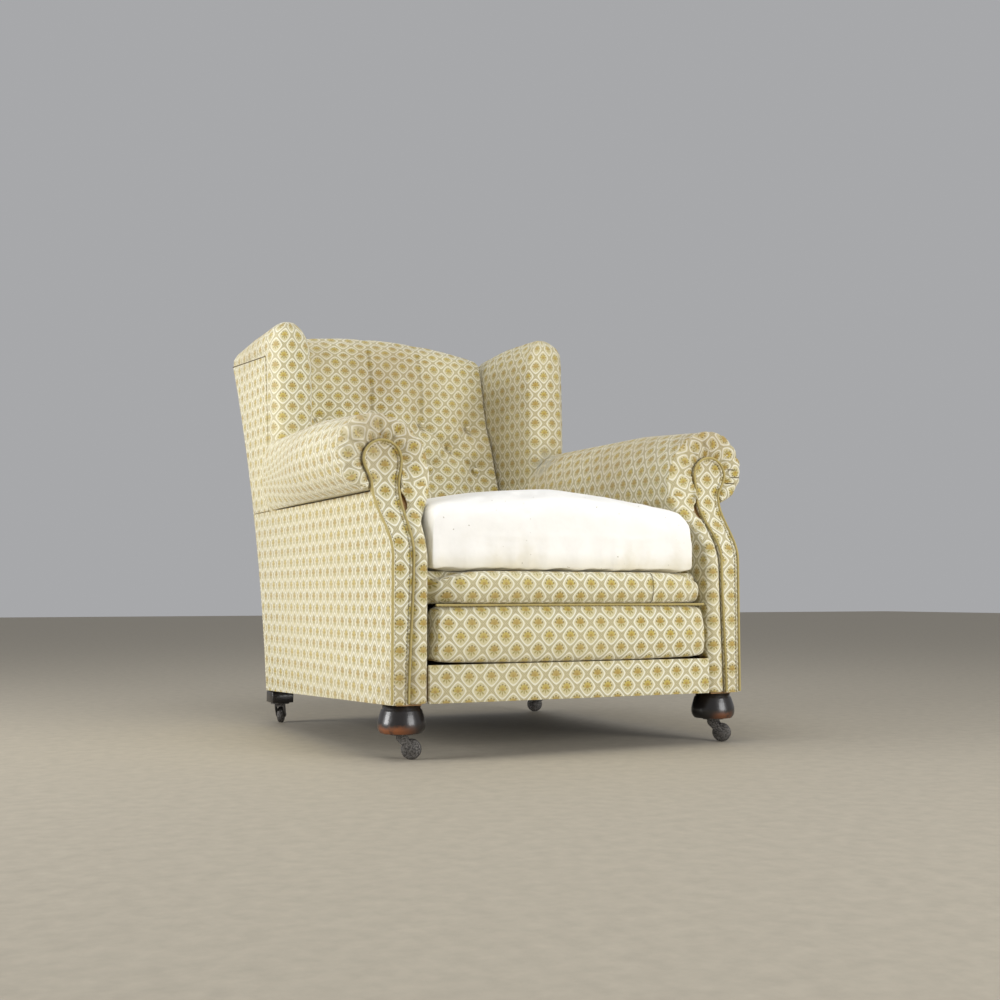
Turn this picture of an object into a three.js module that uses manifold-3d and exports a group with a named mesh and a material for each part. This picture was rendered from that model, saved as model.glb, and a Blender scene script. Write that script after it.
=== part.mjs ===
// A wing-back scroll-arm easy chair of the 1920s: beech frame, webbed and sprung seat, buttoned back, loose
// feather cushion, turned front feet and iron castors. Millimetres, +Z up, the front faces -Y.
import * as THREE from "three";
import { mergeVertices } from "three/addons/utils/BufferGeometryUtils.js";
import Module from "manifold-3d";

// Body: depths run back from the front face of the arm posts, heights up from the floor
const frontWidth = 720; // over the arm posts
const backWidth = 706; // over the back corners at the bottom edge
const bodyDepth = 782; // front of the posts to the back at the bottom edge
const frontClearance = 96; // floor to the bottom edge at the front
const backClearance = 71; // floor to the bottom edge at the back
const backLean = 256; // how far the back leans out over its height
const backStraight = 0.22; // share of the lean that is straight, the rest is curved
const backFlare = 25; // widening of each side of the back at the top
const backCornerRound = 22; // the top back corners are taken in by this much
const backCornerHeight = 40;

// Arms
const armHeight = 607;
const armRise = 14; // swell of the arm's top line behind the scroll
const scrollRadius = 71;
const scrollOverhang = 2; // the scroll's centre stands this far outside the post
const armSetBack = 77; // the scroll stands this far behind the posts
const shoulderHeight = 352; // where the front starts to sweep back
const neckHeight = 478; // where the sweep ends
const postWidth = 70;
const armBulge = 35; // the inside of the arm swells in by this much above the cushion
const armFaceLow = 400;
const armFaceHigh = 470;
const gatherCount = 9;
const gatherDepth = 2.6;
const outsideSeam = 466.6; // top edge of the outside arm panel

// Arm facing with its piping
const facingFoot = 33;
const facingShoulder = 41;
const facingNeck = 53;
const facingNeckOut = 10; // the facing's outer edge stands out by this much at the neck
const headRadius = 37;
const headInset = 11; // from the outer face of the post to the middle of the rounded head
const headDrop = 15; // from the scroll's centre down to the head's centre
const facingThickness = 10;
const pipingRadius = 3.6;

// Wings
const wingFront = 690;
const wingHeight = 906;
const wingThickness = 102;
const wingLean = 16; // the wing's front edge leans back by this much
const wingInset = 22; // the wing closes in by this much towards the back
const wingBand = 66; // from the top of the wing down to the outside panel
const wingSeam = wingHeight - wingBand;
const backHeight = wingHeight - 41; // floor to the top back corners
const wingSeamFall = 17; // the outside panel's top edge falls by this much towards the front
const wingInnerDome = 105; // height of the rounding on the inside
const wingFall = 12; // the top line falls by this much towards the back
const rightWingLift = 5;
const leftWingLift = -8;
const rightArmLift = 6;

// Inside back and its buttons
const insideBackWidth = 496;
const backPad = 60; // front of the pad to the outside back, at the sides
const crestSwell = 42; // extra thickness of the pad at the top
const crestSwellFrom = 690;
const backCrown = 24; // the pad is fuller in the middle
const crestHeight = wingHeight + 16;
const crestDrop = 22; // the top line falls by this much towards the wings
const crestTilt = 8; // and has settled by this much to the right
const crestRoll = 44; // height of the roll over the top rail
const buttonPitch = 131;
const buttonRows = [700, 645, 590];
const buttonDepth = 20;
const buttonSpread = 34;
const creaseDepth = 8;
const creaseWidth = 12;
const buttonRadius = 9.5;
const buttonHeight = 7;

// Seat
const railCoverTop = 162;
const railTop = 158;
const borderBulge = 14;
const borderTaper = 6; // the border narrows by this much on each side towards its top
const borderWidth = 564;
const lipBottom = 267;
const borderTop = lipBottom - 1;
const lipOut = 17;
const lipDepth = 62;
const deckTop = 325;
const deckThickness = 34;
const cushionHeight = 118; // at its edges
const cushionCrown = 27;
const cushionFrontWidth = 540;
const cushionShift = -10; // it has slid a little to the left
const cushionBackWidth = 488;
const cushionFront = 12;

// Cloth, timber and clearances
const clothThickness = 4;
const timberThickness = 45;
const boardThickness = 21;
const frontRailThickness = 39;
const armRailThickness = 30;
const crestRailWidth = 54;
const lowerRailWidth = 46;
const stileSetBack = 26; // behind the front of the wing
const postDrop = 20; // the back posts end this far below the top back corners
const strapWidth = 50;
const strapThickness = 3;
const strapPitch = 92;
const strapCount = 5;
const springRadius = 38;
const springWaist = 25;
const springWire = 2;
const springTurns = 3;
const gap = 0.4;

// Feet and castors
const bunRadius = 41.5;
const bunTopRadius = 33;
const bunFootRadius = 36;
const bunInset = 35; // from the outer face of the post to the foot's middle
const bunSetBack = 41;
const blockSize = 48;
const castorHeight = 46;
const castorPlateRadius = 21;
const castorPlateThickness = 3;
const wheelRadius = 18;
const wheelWidth = 14;
const axleRadius = 3;
const pintleRadius = 4;
const forkThickness = 2.6;
const castorTrail = 17;
const runningGap = 0.8;

const { clamp, lerp } = THREE.MathUtils;
const vec = (x, y, z) => new THREE.Vector3(x, y, z);
const ease = (value, from, to) => THREE.MathUtils.smoothstep(value, from, to);
const range = (count) => Array.from({ length: count }, (_, index) => index);
const steps = (from, to, count) => range(count + 1).map((index) => lerp(from, to, index / count));

// Lines that several pieces share
const halfFront = frontWidth / 2;
const postInner = halfFront - postWidth;
const scrollX = halfFront + scrollOverhang;
const scrollZ = armHeight - scrollRadius;
const polyline = (curve, knots) => (z) => {
  const found = knots.findIndex((knot) => z <= knot);
  const upper = found < 0 ? knots.length - 1 : Math.max(found, 1);
  const [z0, z1] = [knots[upper - 1], knots[upper]];
  return lerp(curve(z0), curve(z1), (z - z0) / (z1 - z0));
};
const levels = (low, high, knots) => {
  const between = knots.filter((knot) => knot > low + 5 && knot < high - 5);
  return [low, ...between, high];
};
const backKnots = steps(backClearance, backHeight, 9);
const sweepKnots = steps(shoulderHeight, neckHeight, 7);
const leanShare = (z) => (z - backClearance) / (backHeight - backClearance);
const backCurve = (z) => bodyDepth + backLean * leanShare(z) * lerp(leanShare(z), 1, backStraight);
const backY = polyline(backCurve, backKnots);
const backHalf = (z) => backWidth / 2 + backFlare * clamp(leanShare(z), 0, 1);
const sideX = (y, z) => lerp(halfFront, backHalf(z), clamp(y / backY(z), 0, 1));
const bottomZ = (y) => lerp(frontClearance, backClearance, clamp(y / bodyDepth, 0, 1));
const sweep = polyline((z) => armSetBack * ease(z, shoulderHeight, neckHeight), sweepKnots);
const frontY = (z) => sweep(clamp(z, shoulderHeight, neckHeight));
const padBottom = deckTop + 3;
const lining = clothThickness + gap;
const timberInner = postInner + 10; // inner face of the posts and side rails
const timberOuter = timberInner + timberThickness;
const facingBack = facingThickness + 2 * gap;

// Solids and booleans
const wasm = await Module();
wasm.setup();

function toSolid(geometry) {
  const bare = geometry.clone();
  bare.deleteAttribute("normal");
  bare.deleteAttribute("uv");
  const merged = mergeVertices(bare, 1e-4);
  const mesh = new wasm.Mesh({
    numProp: 3,
    vertProperties: merged.attributes.position.array,
    triVerts: new Uint32Array(merged.index.array),
  });
  return new wasm.Manifold(mesh);
}

function toGeometry(solid) {
  const mesh = solid.getMesh();
  const geometry = new THREE.BufferGeometry();
  geometry.setAttribute("position", new THREE.BufferAttribute(mesh.vertProperties, 3));
  geometry.setIndex(new THREE.BufferAttribute(mesh.triVerts, 1));
  return geometry;
}

const join = (first, ...others) =>
  toGeometry(others.reduce((sum, other) => sum.add(toSolid(other)), toSolid(first)));

function cut(first, ...cutters) {
  const rest = cutters.reduce((left, cutter) => left.subtract(toSolid(cutter)), toSolid(first));
  return toGeometry(rest.decompose().reduce((most, body) => (body.volume() > most.volume() ? body : most)));
}

// A closed skin over loops of equal length. Each loop runs up one path of `rise` points and back down
// another, and the ends are closed between the two paths.
function skin(loops, rise) {
  const count = loops[0].length;
  const faces = [];
  const face = (a, b, c) => faces.push(a, b, c);
  for (const ring of range(loops.length - 1))
    for (const here of range(count)) {
      const next = (here + 1) % count;
      face(ring * count + here, ring * count + next, (ring + 1) * count + next);
      face(ring * count + here, (ring + 1) * count + next, (ring + 1) * count + here);
    }
  const last = (loops.length - 1) * count;
  let up = 0;
  let down = count - 1;
  while (up + 1 < down) {
    const climbing = up * (count - rise) <= (count - 1 - down) * rise;
    const third = climbing ? up + 1 : down - 1;
    face(up, down, third);
    face(last + up, last + third, last + down);
    if (climbing) up += 1;
    else down -= 1;
  }
  const points = loops.flat();
  const volume = range(faces.length / 3).reduce((sum, index) => {
    const [a, b, c] = [0, 1, 2].map((corner) => points[faces[3 * index + corner]]);
    return sum + a.dot(b.clone().cross(c));
  }, 0);
  if (volume < 0) faces.reverse();
  const geometry = new THREE.BufferGeometry().setFromPoints(points);
  geometry.setIndex(faces);
  return geometry;
}

// A slab between an outer and an inner surface, each a function of two shares from 0 to 1.
function slab(outer, inner, us, vs) {
  const loops = us.map((u) => [...vs.map((v) => outer(u, v)), ...vs.toReversed().map((v) => inner(u, v))]);
  return skin(loops, vs.length);
}

function box(x0, x1, y0, y1, z0, z1) {
  const geometry = new THREE.BoxGeometry(x1 - x0, y1 - y0, z1 - z0);
  return geometry.translate((x0 + x1) / 2, (y0 + y1) / 2, (z0 + z1) / 2);
}

// A board cut to a side profile: front and back edges as functions of height
function board(x0, x1, z0, z1, front, back, knots) {
  const heights = levels(z0, z1, knots);
  const loop = (x) => [
    ...heights.map((z) => vec(x, front(z), z)),
    ...heights.toReversed().map((z) => vec(x, back(z), z)),
  ];
  return skin([loop(x0), loop(x1)], heights.length);
}

// A turned piece from a profile of [radius, height] pairs
function turned(profile, segments) {
  const points = profile.map(([radius, height]) => new THREE.Vector2(radius, height));
  return new THREE.LatheGeometry(points, segments).rotateX(Math.PI / 2);
}

// Beech frame, each piece grown by `grow` where a pad is cut to clear it
const postTop = outsideSeam + 3;
const armRailTop = postTop + armRailThickness;
const armRailBack = backY(postTop) - lining - timberThickness - gap;
const bunTop = bottomZ(bunSetBack + bunTopRadius) - gap;
const stileFront = wingFront + stileSetBack;
const stileBack = stileFront + timberThickness;
const backRailFront = (z) => backY(z) - lining - boardThickness;
const crestRailTop = backHeight + 3;
const crestRailBottom = crestRailTop - crestRailWidth;
const lowerRailBottom = padBottom + 4;
const lowerRailTop = lowerRailBottom + lowerRailWidth;

const frame = {
  front_rail: (grow) =>
    box(-timberInner + gap - grow, timberInner - gap + grow, facingBack - grow,
      facingBack + frontRailThickness + grow, frontClearance + 4 - grow, railTop + grow),
  back_rail: (grow) =>
    board(-timberInner + gap - grow, timberInner - gap + grow, backClearance + 5 - grow, railTop + grow,
      (z) => backY(z) - lining - timberThickness - grow, (z) => backY(z) - lining + grow, backKnots),
  side_rail: (grow) => {
    const front = facingBack + timberThickness + gap - grow;
    const back = bodyDepth - lining - timberThickness - gap + grow;
    const loop = (x) => [
      vec(x, front, bottomZ(front) + 4 - grow),
      vec(x, front, railTop + grow),
      vec(x, back, railTop + grow),
      vec(x, back, bottomZ(back) + 4 - grow),
    ];
    return skin([loop(timberInner - grow), loop(timberOuter + grow)], 2);
  },
  front_post: (grow) =>
    board(timberInner - grow, timberOuter + grow, bunTop + gap - grow, postTop + grow,
      (z) => frontY(z) + facingBack - grow,
      (z) => frontY(z) + facingBack + timberThickness + grow, sweepKnots),
  back_post: (grow) =>
    board(timberInner - grow, timberOuter + grow, backClearance + gap - grow, backHeight - postDrop + grow,
      (z) => backY(z) - lining - timberThickness - grow, (z) => backY(z) - lining + grow, backKnots),
  arm_rail: (grow) =>
    box(timberInner - grow, timberOuter + grow, armSetBack + facingBack - grow, armRailBack + grow,
      postTop + gap - grow, armRailTop + grow),
  wing_stile: (grow) =>
    box(timberInner - grow, timberOuter - 5 + grow, stileFront - grow, stileBack + grow,
      armRailTop + gap - grow, wingSeam + grow),
  crest_rail: (grow) =>
    board(-timberInner + gap - grow, timberInner - gap + grow, crestRailBottom - grow, crestRailTop + grow,
      (z) => backRailFront(z) - grow, (z) => backY(z) - lining + grow, backKnots),
  lower_back_rail: (grow) =>
    board(-timberInner + gap - grow, timberInner - gap + grow, lowerRailBottom - grow, lowerRailTop + grow,
      (z) => backRailFront(z) - grow, (z) => backY(z) - lining + grow, backKnots),
};

// Outline of the arm facing: a straight foot that widens to a rounded head
const headX = halfFront - headInset;
const headZ = scrollZ - headDrop;
const along = (z, stops) => {
  const upper = stops.findIndex(([height]) => z <= height);
  if (upper < 0) return stops.at(-1)[1];
  if (upper === 0) return stops[0][1];
  const [z0, x0] = stops[upper - 1];
  const [z1, x1] = stops[upper];
  return lerp(x0, x1, ease(z, z0, z1));
};
const facingOuter = (z) =>
  along(z, [
    [frontClearance, halfFront],
    [shoulderHeight, halfFront],
    [neckHeight, halfFront + facingNeckOut],
    [headZ, headX + headRadius],
  ]);
const facingInner = (z) =>
  along(z, [
    [frontClearance, halfFront - facingFoot],
    [shoulderHeight, halfFront - facingShoulder],
    [neckHeight, halfFront + facingNeckOut - facingNeck],
    [headZ, headX - headRadius],
  ]);
const headHalf = (z) => Math.sqrt(Math.max(headRadius ** 2 - (z - headZ) ** 2, 4));

// The room the facing takes, grown by `grow`, where the arm is cut to clear it
const facingHeights = [
  ...steps(frontClearance, shoulderHeight, 2),
  ...sweepKnots.slice(1),
  headZ,
  ...[0.45, 0.75, 0.93, 1].map((share) => headZ + headRadius * share),
];
const facingEdge = (z, side) => {
  if (z > headZ) return headX + side * headHalf(z);
  return side > 0 ? facingOuter(z) : facingInner(z);
};

function facingClear(grow) {
  const across = (z, u) => lerp(facingEdge(z, -1) - grow, facingEdge(z, 1) + grow, u);
  const lift = (index) => grow * (Number(index === facingHeights.length - 1) - Number(index === 0));
  const loops = facingHeights.map((z, index) => [
    ...[0, 1].map((u) => vec(across(z, u), frontY(z) - armSetBack, z + lift(index))),
    ...[1, 0].map((u) => vec(across(z, u), frontY(z) + facingThickness + grow, z + lift(index))),
  ]);
  return skin(loops, 2);
}

// The facing with the piping sewn round its edge: sections along the outline, each running from the
// middle line out over the piping to the edge and back behind, the two sides sharing the middle line
function armFacing() {
  const low = facingHeights.filter((z) => z <= headZ);
  const arch = range(7).map((index) => (Math.PI * (7 - index)) / 8);
  const outline = [
    ...low.map((z) => [facingInner(z), z]),
    ...arch.map((turn) => [headX + headRadius * Math.cos(turn), headZ + headRadius * Math.sin(turn)]),
    ...low.toReversed().map((z) => [facingOuter(z), z]),
  ];
  const spine = (z) => (z < headZ ? (facingInner(z) + facingOuter(z)) / 2 : headX);
  const sections = outline.map(([x, z]) => {
    const middle = vec(spine(z), 0, Math.min(z, headZ));
    const edge = vec(x, 0, z);
    const inward = middle.clone().sub(edge).normalize();
    const place = (inset, depth) => {
      const point = edge.clone().addScaledVector(inward, inset);
      point.y = frontY(point.z) + depth;
      return point;
    };
    const front = vec(middle.x, frontY(middle.z) + pipingRadius - 3, middle.z);
    const behind = vec(middle.x, frontY(middle.z) + facingThickness, middle.z);
    return [
      front,
      place(2 * pipingRadius, pipingRadius),
      place(1.5 * pipingRadius, pipingRadius * 0.2),
      place(0.6 * pipingRadius, 0),
      place(0, pipingRadius),
      place(0, facingThickness),
      behind,
    ];
  });
  const points = sections.flat();
  const count = sections[0].length;
  const faces = [];
  const face = (...corners) => {
    const [a, b, c] = corners.map((corner) => points[corner]);
    if (b.clone().sub(a).cross(c.clone().sub(a)).length() > 1e-6) faces.push(...corners);
  };
  for (const here of range(sections.length - 1))
    for (const step of range(count - 1)) {
      const [a, b] = [here * count + step, (here + 1) * count + step];
      face(a, b, b + 1);
      face(a, b + 1, a + 1);
    }
  const last = (sections.length - 1) * count;
  for (const step of range(count - 2)) {
    face(0, step + 1, step + 2);
    face(last, last + step + 2, last + step + 1);
  }
  const geometry = new THREE.BufferGeometry().setFromPoints(points);
  geometry.setIndex(faces);
  return geometry;
}

// The scroll arm: outer path up the inside face and round the roll, inner path back along the facing or
// the rail
const rollSteps = 2 * gatherCount;
const rollFrom = Math.PI;
const rollTo = (-75 * Math.PI) / 180;
const faceSteps = 7;
const rollSpring = scrollZ - 31; // height at which the inside face runs into the roll
const armFaceX = (z) => postInner - armBulge * ease(z, armFaceLow, armFaceHigh);
const rise = (y) => armRise * ease(y, armSetBack, armSetBack + 280);

const faceHeights = (low) => [low, lerp(low, shoulderHeight, 0.5), ...steps(shoulderHeight, armFaceHigh, 4)];

function armOuter(low, y) {
  const face = faceHeights(low).map((z) => vec(armFaceX(z), 0, z));
  const roll = steps(rollFrom, rollTo, rollSteps).map((turn) => {
    const lift = rise(y) * Math.max(Math.sin(turn), 0);
    const outside = turn < Math.PI / 2;
    const halfWidth = outside ? scrollRadius : scrollX - postInner + armBulge;
    const spring = outside ? scrollZ : rollSpring;
    const height = (armHeight - spring) * Math.sin(turn);
    return vec(scrollX + halfWidth * Math.cos(turn), 0, spring + lift + height);
  });
  return [...face, ...roll];
}

// The points of the facing's outline that the outer path gathers in to
function armGather(low) {
  const clear = 2 * gap;
  const face = faceHeights(low).map((z) => vec(facingInner(z) - clear, 0, z));
  const reach = headRadius + clear;
  const roll = steps(rollFrom, rollTo, rollSteps).map((turn) => {
    if (turn >= 0) return vec(headX + reach * Math.cos(turn), 0, headZ + reach * Math.sin(turn));
    const z = lerp(headZ, neckHeight, turn / rollTo);
    return vec(facingOuter(z) + clear, 0, z);
  });
  return [...face, ...roll];
}

function armFacingPath(low) {
  const points = armGather(low);
  const kept = [...range(faceSteps), ...range(rollSteps / 3 + 1).map((index) => faceSteps + 3 * index)];
  return kept.toReversed().map((index) => points[index]);
}

function armRailPath(low) {
  const [near, far] = [timberInner - 2 * gap, timberOuter + 2 * gap];
  const top = armRailTop + 2 * gap;
  const over = rollSteps / 3;
  const roof = range(over).map((index) => vec(lerp(far, near, index / (over - 1)), 0, top));
  const face = range(faceSteps).map((index) => vec(near, 0, lerp(top, low, (index + 1) / faceSteps)));
  return [vec(far, 0, postTop + gap), ...roof, ...face];
}

function scrollArm(wing, wingPanel) {
  const floor = frontClearance + gap;
  const aboveRail = railCoverTop + gap;
  const front = (reach, out, fold, low, behind) => {
    const outer = armOuter(low, armSetBack);
    const gathered = armGather(low);
    const inner = behind ? armRailPath(low) : armFacingPath(low);
    const place = (point) => vec(point.x, frontY(point.z) + out, point.z);
    const folded = outer.map((point, index) => {
      const pleat = index > faceSteps ? fold * (index % 2 ? 1 : -1) : 0;
      const spot = gathered[index].clone().lerp(point, reach);
      const away = point.clone().sub(gathered[index]).normalize();
      return place(spot.addScaledVector(away, pleat * 0.4)).add(vec(0, -pleat, 0));
    });
    return [...folded, ...inner.map((point) => vec(point.x, frontY(point.z) + Math.max(out, gap), point.z))];
  };
  const across = (y, low) =>
    [...armOuter(low, y), ...armRailPath(low)].map((point) => vec(point.x, y, point.z));
  const end = wingFront + 15;
  const loops = [
    front(0.04, pipingRadius + 2, 0, floor, false),
    front(0.3, -1, gatherDepth, floor, false),
    front(0.72, 0, gatherDepth, floor, false),
    front(0.94, facingThickness * 0.7, gatherDepth * 0.6, floor, false),
    front(1, facingBack - gap / 2, gatherDepth * 0.4, floor, false),
    front(1, facingBack, gatherDepth * 0.4, aboveRail, true),
    front(1, facingBack + 32, 0, aboveRail, true),
    ...[armSetBack + 90, armSetBack + 240, end].map((y) => across(y, padBottom)),
  ];
  const arm = skin(loops, faceSteps + rollSteps + 1);
  const endX = sideX(end, armHeight) + gap;
  const tuck = [
    [end - 40, 0.98],
    [end, 0.96],
    [end + 12, 0.8],
    [end + 19, 0.45],
  ].map(([y, share]) => {
    const reach = scrollRadius * share;
    const turns = steps((-70 * Math.PI) / 180, (70 * Math.PI) / 180, 8);
    const end = (turn) => Math.max(scrollX + reach * Math.cos(turn), endX + 1);
    return [
      ...turns.map((turn) => vec(end(turn), y, scrollZ + reach * Math.sin(turn))),
      vec(endX, y, scrollZ + reach * 0.9),
      vec(endX, y, scrollZ - reach * 0.9),
    ];
  });
  const facing = facingClear(2.5 * gap);
  return cut(join(arm, skin(tuck, 5)), wing, wingPanel, facing, frame.front_post(gap), frame.arm_rail(gap));
}

// The wing: plan outlines stacked up to a rounded top, squarer at the front edge and softer on the inside
const wingHalf = wingThickness / 2;
const wingPanelLow = () => outsideSeam + 2;
const wingNose = (z) => wingFront + wingLean * ease(z, armHeight, wingHeight);
const panelStart = (z) => wingNose(z) + wingHalf + 3 * gap;
const domeShare = (z, depth) => Math.sqrt(1 - clamp((z - wingHeight + depth) / depth, 0, 0.97) ** 2);

function wingSolid(grow) {
  const bandLow = wingSeam + 2 * gap;
  const tops = [0.42, 0.7, 0.9, 1].map((share) => lerp(bandLow, wingHeight, share));
  const low = [padBottom, wingPanelLow() - gap, wingPanelLow() + gap, lerp(wingPanelLow(), wingSeam, 0.5)];
  const heights = [...low, wingHeight - wingInnerDome, wingSeam + gap, bandLow, ...tops];
  const loops = heights.map((height, index) => {
    const level = ease(height, lerp(padBottom, wingHeight, 0.6), wingHeight);
    const front = wingNose(height) + wingHalf;
    const fall = wingFall * level;
    const end = backY(Math.min(height - fall, backHeight)) - lining - gap + grow;
    const outline = (y, cover) => {
      const z = height - fall * ease(y, wingFront + 160, wingFront + 330);
      const outer = sideX(y, z) - cover - gap;
      const closing = wingInset * ease(y, wingFront + wingHalf, wingFront + 230);
      const inner = halfFront + 12 - wingThickness - closing;
      const middle = (outer + inner) / 2;
      const near = middle - (middle - inner) * domeShare(height, wingInnerDome) - grow;
      const far = middle + (outer - middle) * domeShare(height, wingHalf) + grow;
      return { y, z: z + (index ? grow : -grow), near, far };
    };
    const cover = height < bandLow ? lining : 0;
    const noseCover = height < wingPanelLow() ? lining : 0;
    const behind = [0.02, 0.5, 1].map((share) => outline(lerp(front, end, share), cover));
    const sides = [outline(front, noseCover), ...behind];
    const { y, z, near, far } = sides[0];
    const reach = wingHalf * domeShare(height, wingHalf) + grow;
    const round = steps(0, Math.PI, 6).slice(1, -1).map((turn) => {
      const across = Math.sign(Math.cos(turn)) * Math.abs(Math.cos(turn)) ** 0.72;
      return vec(lerp(far, near, (1 + across) / 2), y - reach * Math.sin(turn) ** 0.72, z);
    });
    return [
      ...sides.toReversed().map((side) => vec(side.near, side.y, side.z)),
      ...round,
      ...sides.map((side) => vec(side.far, side.y, side.z)),
    ];
  });
  return skin(loops, 7);
}

// Raises (or, below zero, settles) what lies above a height, where the two sides of the old frame stand
// unevenly
function raised(geometry, lift, from, to) {
  const copy = geometry.clone();
  const place = copy.attributes.position;
  for (const index of range(place.count)) {
    const z = place.getZ(index);
    place.setZ(index, z + lift * ease(z, from, to));
  }
  return copy;
}

// Panels of cloth over the outside of the frame
function outsidePanel(low, high, fall, start, knots, grow) {
  const shares = levels(low(0), high, knots).map((z) => (z - low(0)) / (high - low(0)));
  const point = (offset) => (u, v) => {
    const rear = backY(lerp(low(bodyDepth), high, v)) - lining - 2 * gap;
    const y = lerp(start(lerp(low(0), high - fall, v)) - grow, rear + grow, u);
    const z = lerp(low(y) - grow, high - fall * (1 - u) + grow, v);
    return vec(sideX(y, z) + offset, y, z);
  };
  return slab(point(grow), point(-clothThickness - grow), [0, 1], shares);
}

function outsideBack(grow) {
  const [low, high] = [backClearance, backHeight + 4];
  const corner = [1, 0.6, 0.3].map((share) => high - backCornerHeight * share);
  const heights = [...backKnots.filter((knot) => knot < corner[0]), ...corner];
  const shares = levels(low, high, heights).map((z) => (z - low) / (high - low));
  const point = (offset) => (u, v) => {
    const z = lerp(low, high, v);
    const taken = backCornerRound * clamp((z - corner[0]) / backCornerHeight, 0, 1) ** 2;
    return vec(lerp(-1, 1, u) * (backHalf(z) - gap - taken), backY(z) + offset, z);
  };
  return slab(point(grow), point(-clothThickness - grow), [0, 1], shares);
}

// Buttoned inside back
const halfInside = insideBackWidth / 2;
const buttonSpots = buttonRows.flatMap((z, row) => {
  const offsets = row % 2 ? [-1, 0, 1] : [-1.5, -0.5, 0.5, 1.5];
  return offsets.map((offset) => ({ x: offset * buttonPitch, z }));
});
const pleats = [-0.5, 0.5].map((offset) => offset * buttonPitch);
const creases = buttonSpots.flatMap((from) =>
  buttonSpots
    .filter((to) => to.z < from.z && from.z - to.z < 100 && Math.abs(to.x - from.x) < 0.6 * buttonPitch)
    .map((to) => ({ from, to })),
);

function creaseDistance(x, z, { from, to }) {
  const [dx, dz] = [to.x - from.x, to.z - from.z];
  const share = clamp(((x - from.x) * dx + (z - from.z) * dz) / (dx * dx + dz * dz), 0, 1);
  return Math.hypot(x - from.x - share * dx, z - from.z - share * dz);
}

function tuftDepth(x, z) {
  const wells = buttonSpots.map((spot) => {
    const away = Math.max(Math.hypot(x - spot.x, z - spot.z) - buttonRadius * 1.6, 0);
    return buttonDepth * Math.exp(-((away / buttonSpread) ** 2) * 2);
  });
  const folds = creases.map((crease) => {
    const away = creaseDistance(x, z, crease) / creaseWidth;
    return creaseDepth * Math.exp(-(away ** 2));
  });
  const top = buttonRows[0];
  const bottom = buttonRows.at(-1);
  const beyond = z > top || z < bottom;
  const upright = pleats.map((pleat) => {
    const across = Math.exp(-(((x - pleat) / creaseWidth) ** 2));
    return beyond ? creaseDepth * across : 0;
  });
  return Math.max(...wells, ...folds, ...upright);
}

const insideY = (x, z) => {
  const crown = backCrown * (1 - (x / halfInside) ** 2) * ease(z, padBottom + 40, padBottom + 220);
  return backY(z) - backPad - crestSwell * ease(z, crestSwellFrom, crestHeight) - crown;
};
const padFront = (x, z) => insideY(x, z) + tuftDepth(x, z);

function around(marks, half, from, to) {
  const all = [from, to, ...marks.flatMap((mark) => [mark - half, mark, mark + half])];
  const sorted = [...new Set(all.map((value) => Math.round(value * 100) / 100))].sort((a, b) => a - b);
  return sorted.flatMap((value, index) => {
    const next = sorted[index + 1];
    return next - value > 1.9 * half ? [value, (value + next) / 2] : [value];
  });
}

function insideBack() {
  const half = buttonRadius * 1.5;
  const columns = [...new Set(buttonSpots.map((spot) => spot.x))];
  const edge = halfInside - gap;
  const xs = around(columns, half, -edge, edge);
  const crestTop = (x) => crestHeight - crestDrop * (x / halfInside) ** 2 - (crestTilt * x) / halfInside;
  const rollFoot = crestHeight - crestDrop - crestTilt - crestRoll;
  const heights = around([...buttonRows].reverse(), half, padBottom + gap, rollFoot);
  const loops = xs.map((x) => {
    const face = heights.map((z) => vec(x, padFront(x, z), z));
    const start = face.at(-1);
    const end = vec(x, backY(backHeight + 8) - gap, backHeight + 5);
    const over = steps(0, 1, 5).slice(1).map((share) => {
      const swing = (1 - Math.cos(Math.PI * share)) / 2;
      const base = lerp(start.z, end.z, share);
      const lift = (crestTop(x) - lerp(start.z, end.z, 0.5)) * Math.sin(Math.PI * share) ** 0.8;
      const fold = tuftDepth(x, crestHeight) * (1 - share);
      return vec(x, lerp(insideY(x, start.z), end.y, swing) + fold, base + lift - fold * share);
    });
    const behind = (z) => backRailFront(z) - strapThickness - 2 * gap;
    const rear = levels(padBottom + gap, crestRailTop + gap, backKnots).map((z) => vec(x, behind(z), z));
    return [...face, ...over, ...rear.toReversed()];
  });
  return skin(loops, heights.length + 5);
}

function button({ x, z }) {
  const half = buttonRadius;
  const lean = Math.atan2(padFront(x, z + half) - padFront(x, z - half), 2 * half);
  const turn = Math.atan2(padFront(x + half, z) - padFront(x - half, z), 2 * half);
  const profile = [
    [0, 0],
    [buttonRadius, buttonHeight * 0.2],
    [buttonRadius * 0.75, buttonHeight * 0.8],
    [0, buttonHeight],
  ];
  const geometry = turned(profile, 7);
  geometry.rotateX(Math.PI / 2 - lean);
  geometry.rotateZ(turn);
  return geometry.translate(x, padFront(x, z) - 2 * gap, z);
}

// Seat: front rail cover, sprung border, deck with its lip, feather cushion
function railCover() {
  const half = postInner - gap;
  const bow = (z) => 2 * Math.sin((Math.PI * (z - frontClearance)) / (railCoverTop - frontClearance));
  return slab(
    (u, v) => {
      const z = lerp(frontClearance, railCoverTop, v);
      return vec(lerp(-half, half, u), 2 - bow(z), z);
    },
    (u, v) => vec(lerp(-half, half, u), facingBack - gap, lerp(frontClearance, railCoverTop, v)),
    steps(0, 1, 2),
    steps(0, 1, 4),
  );
}

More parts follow.
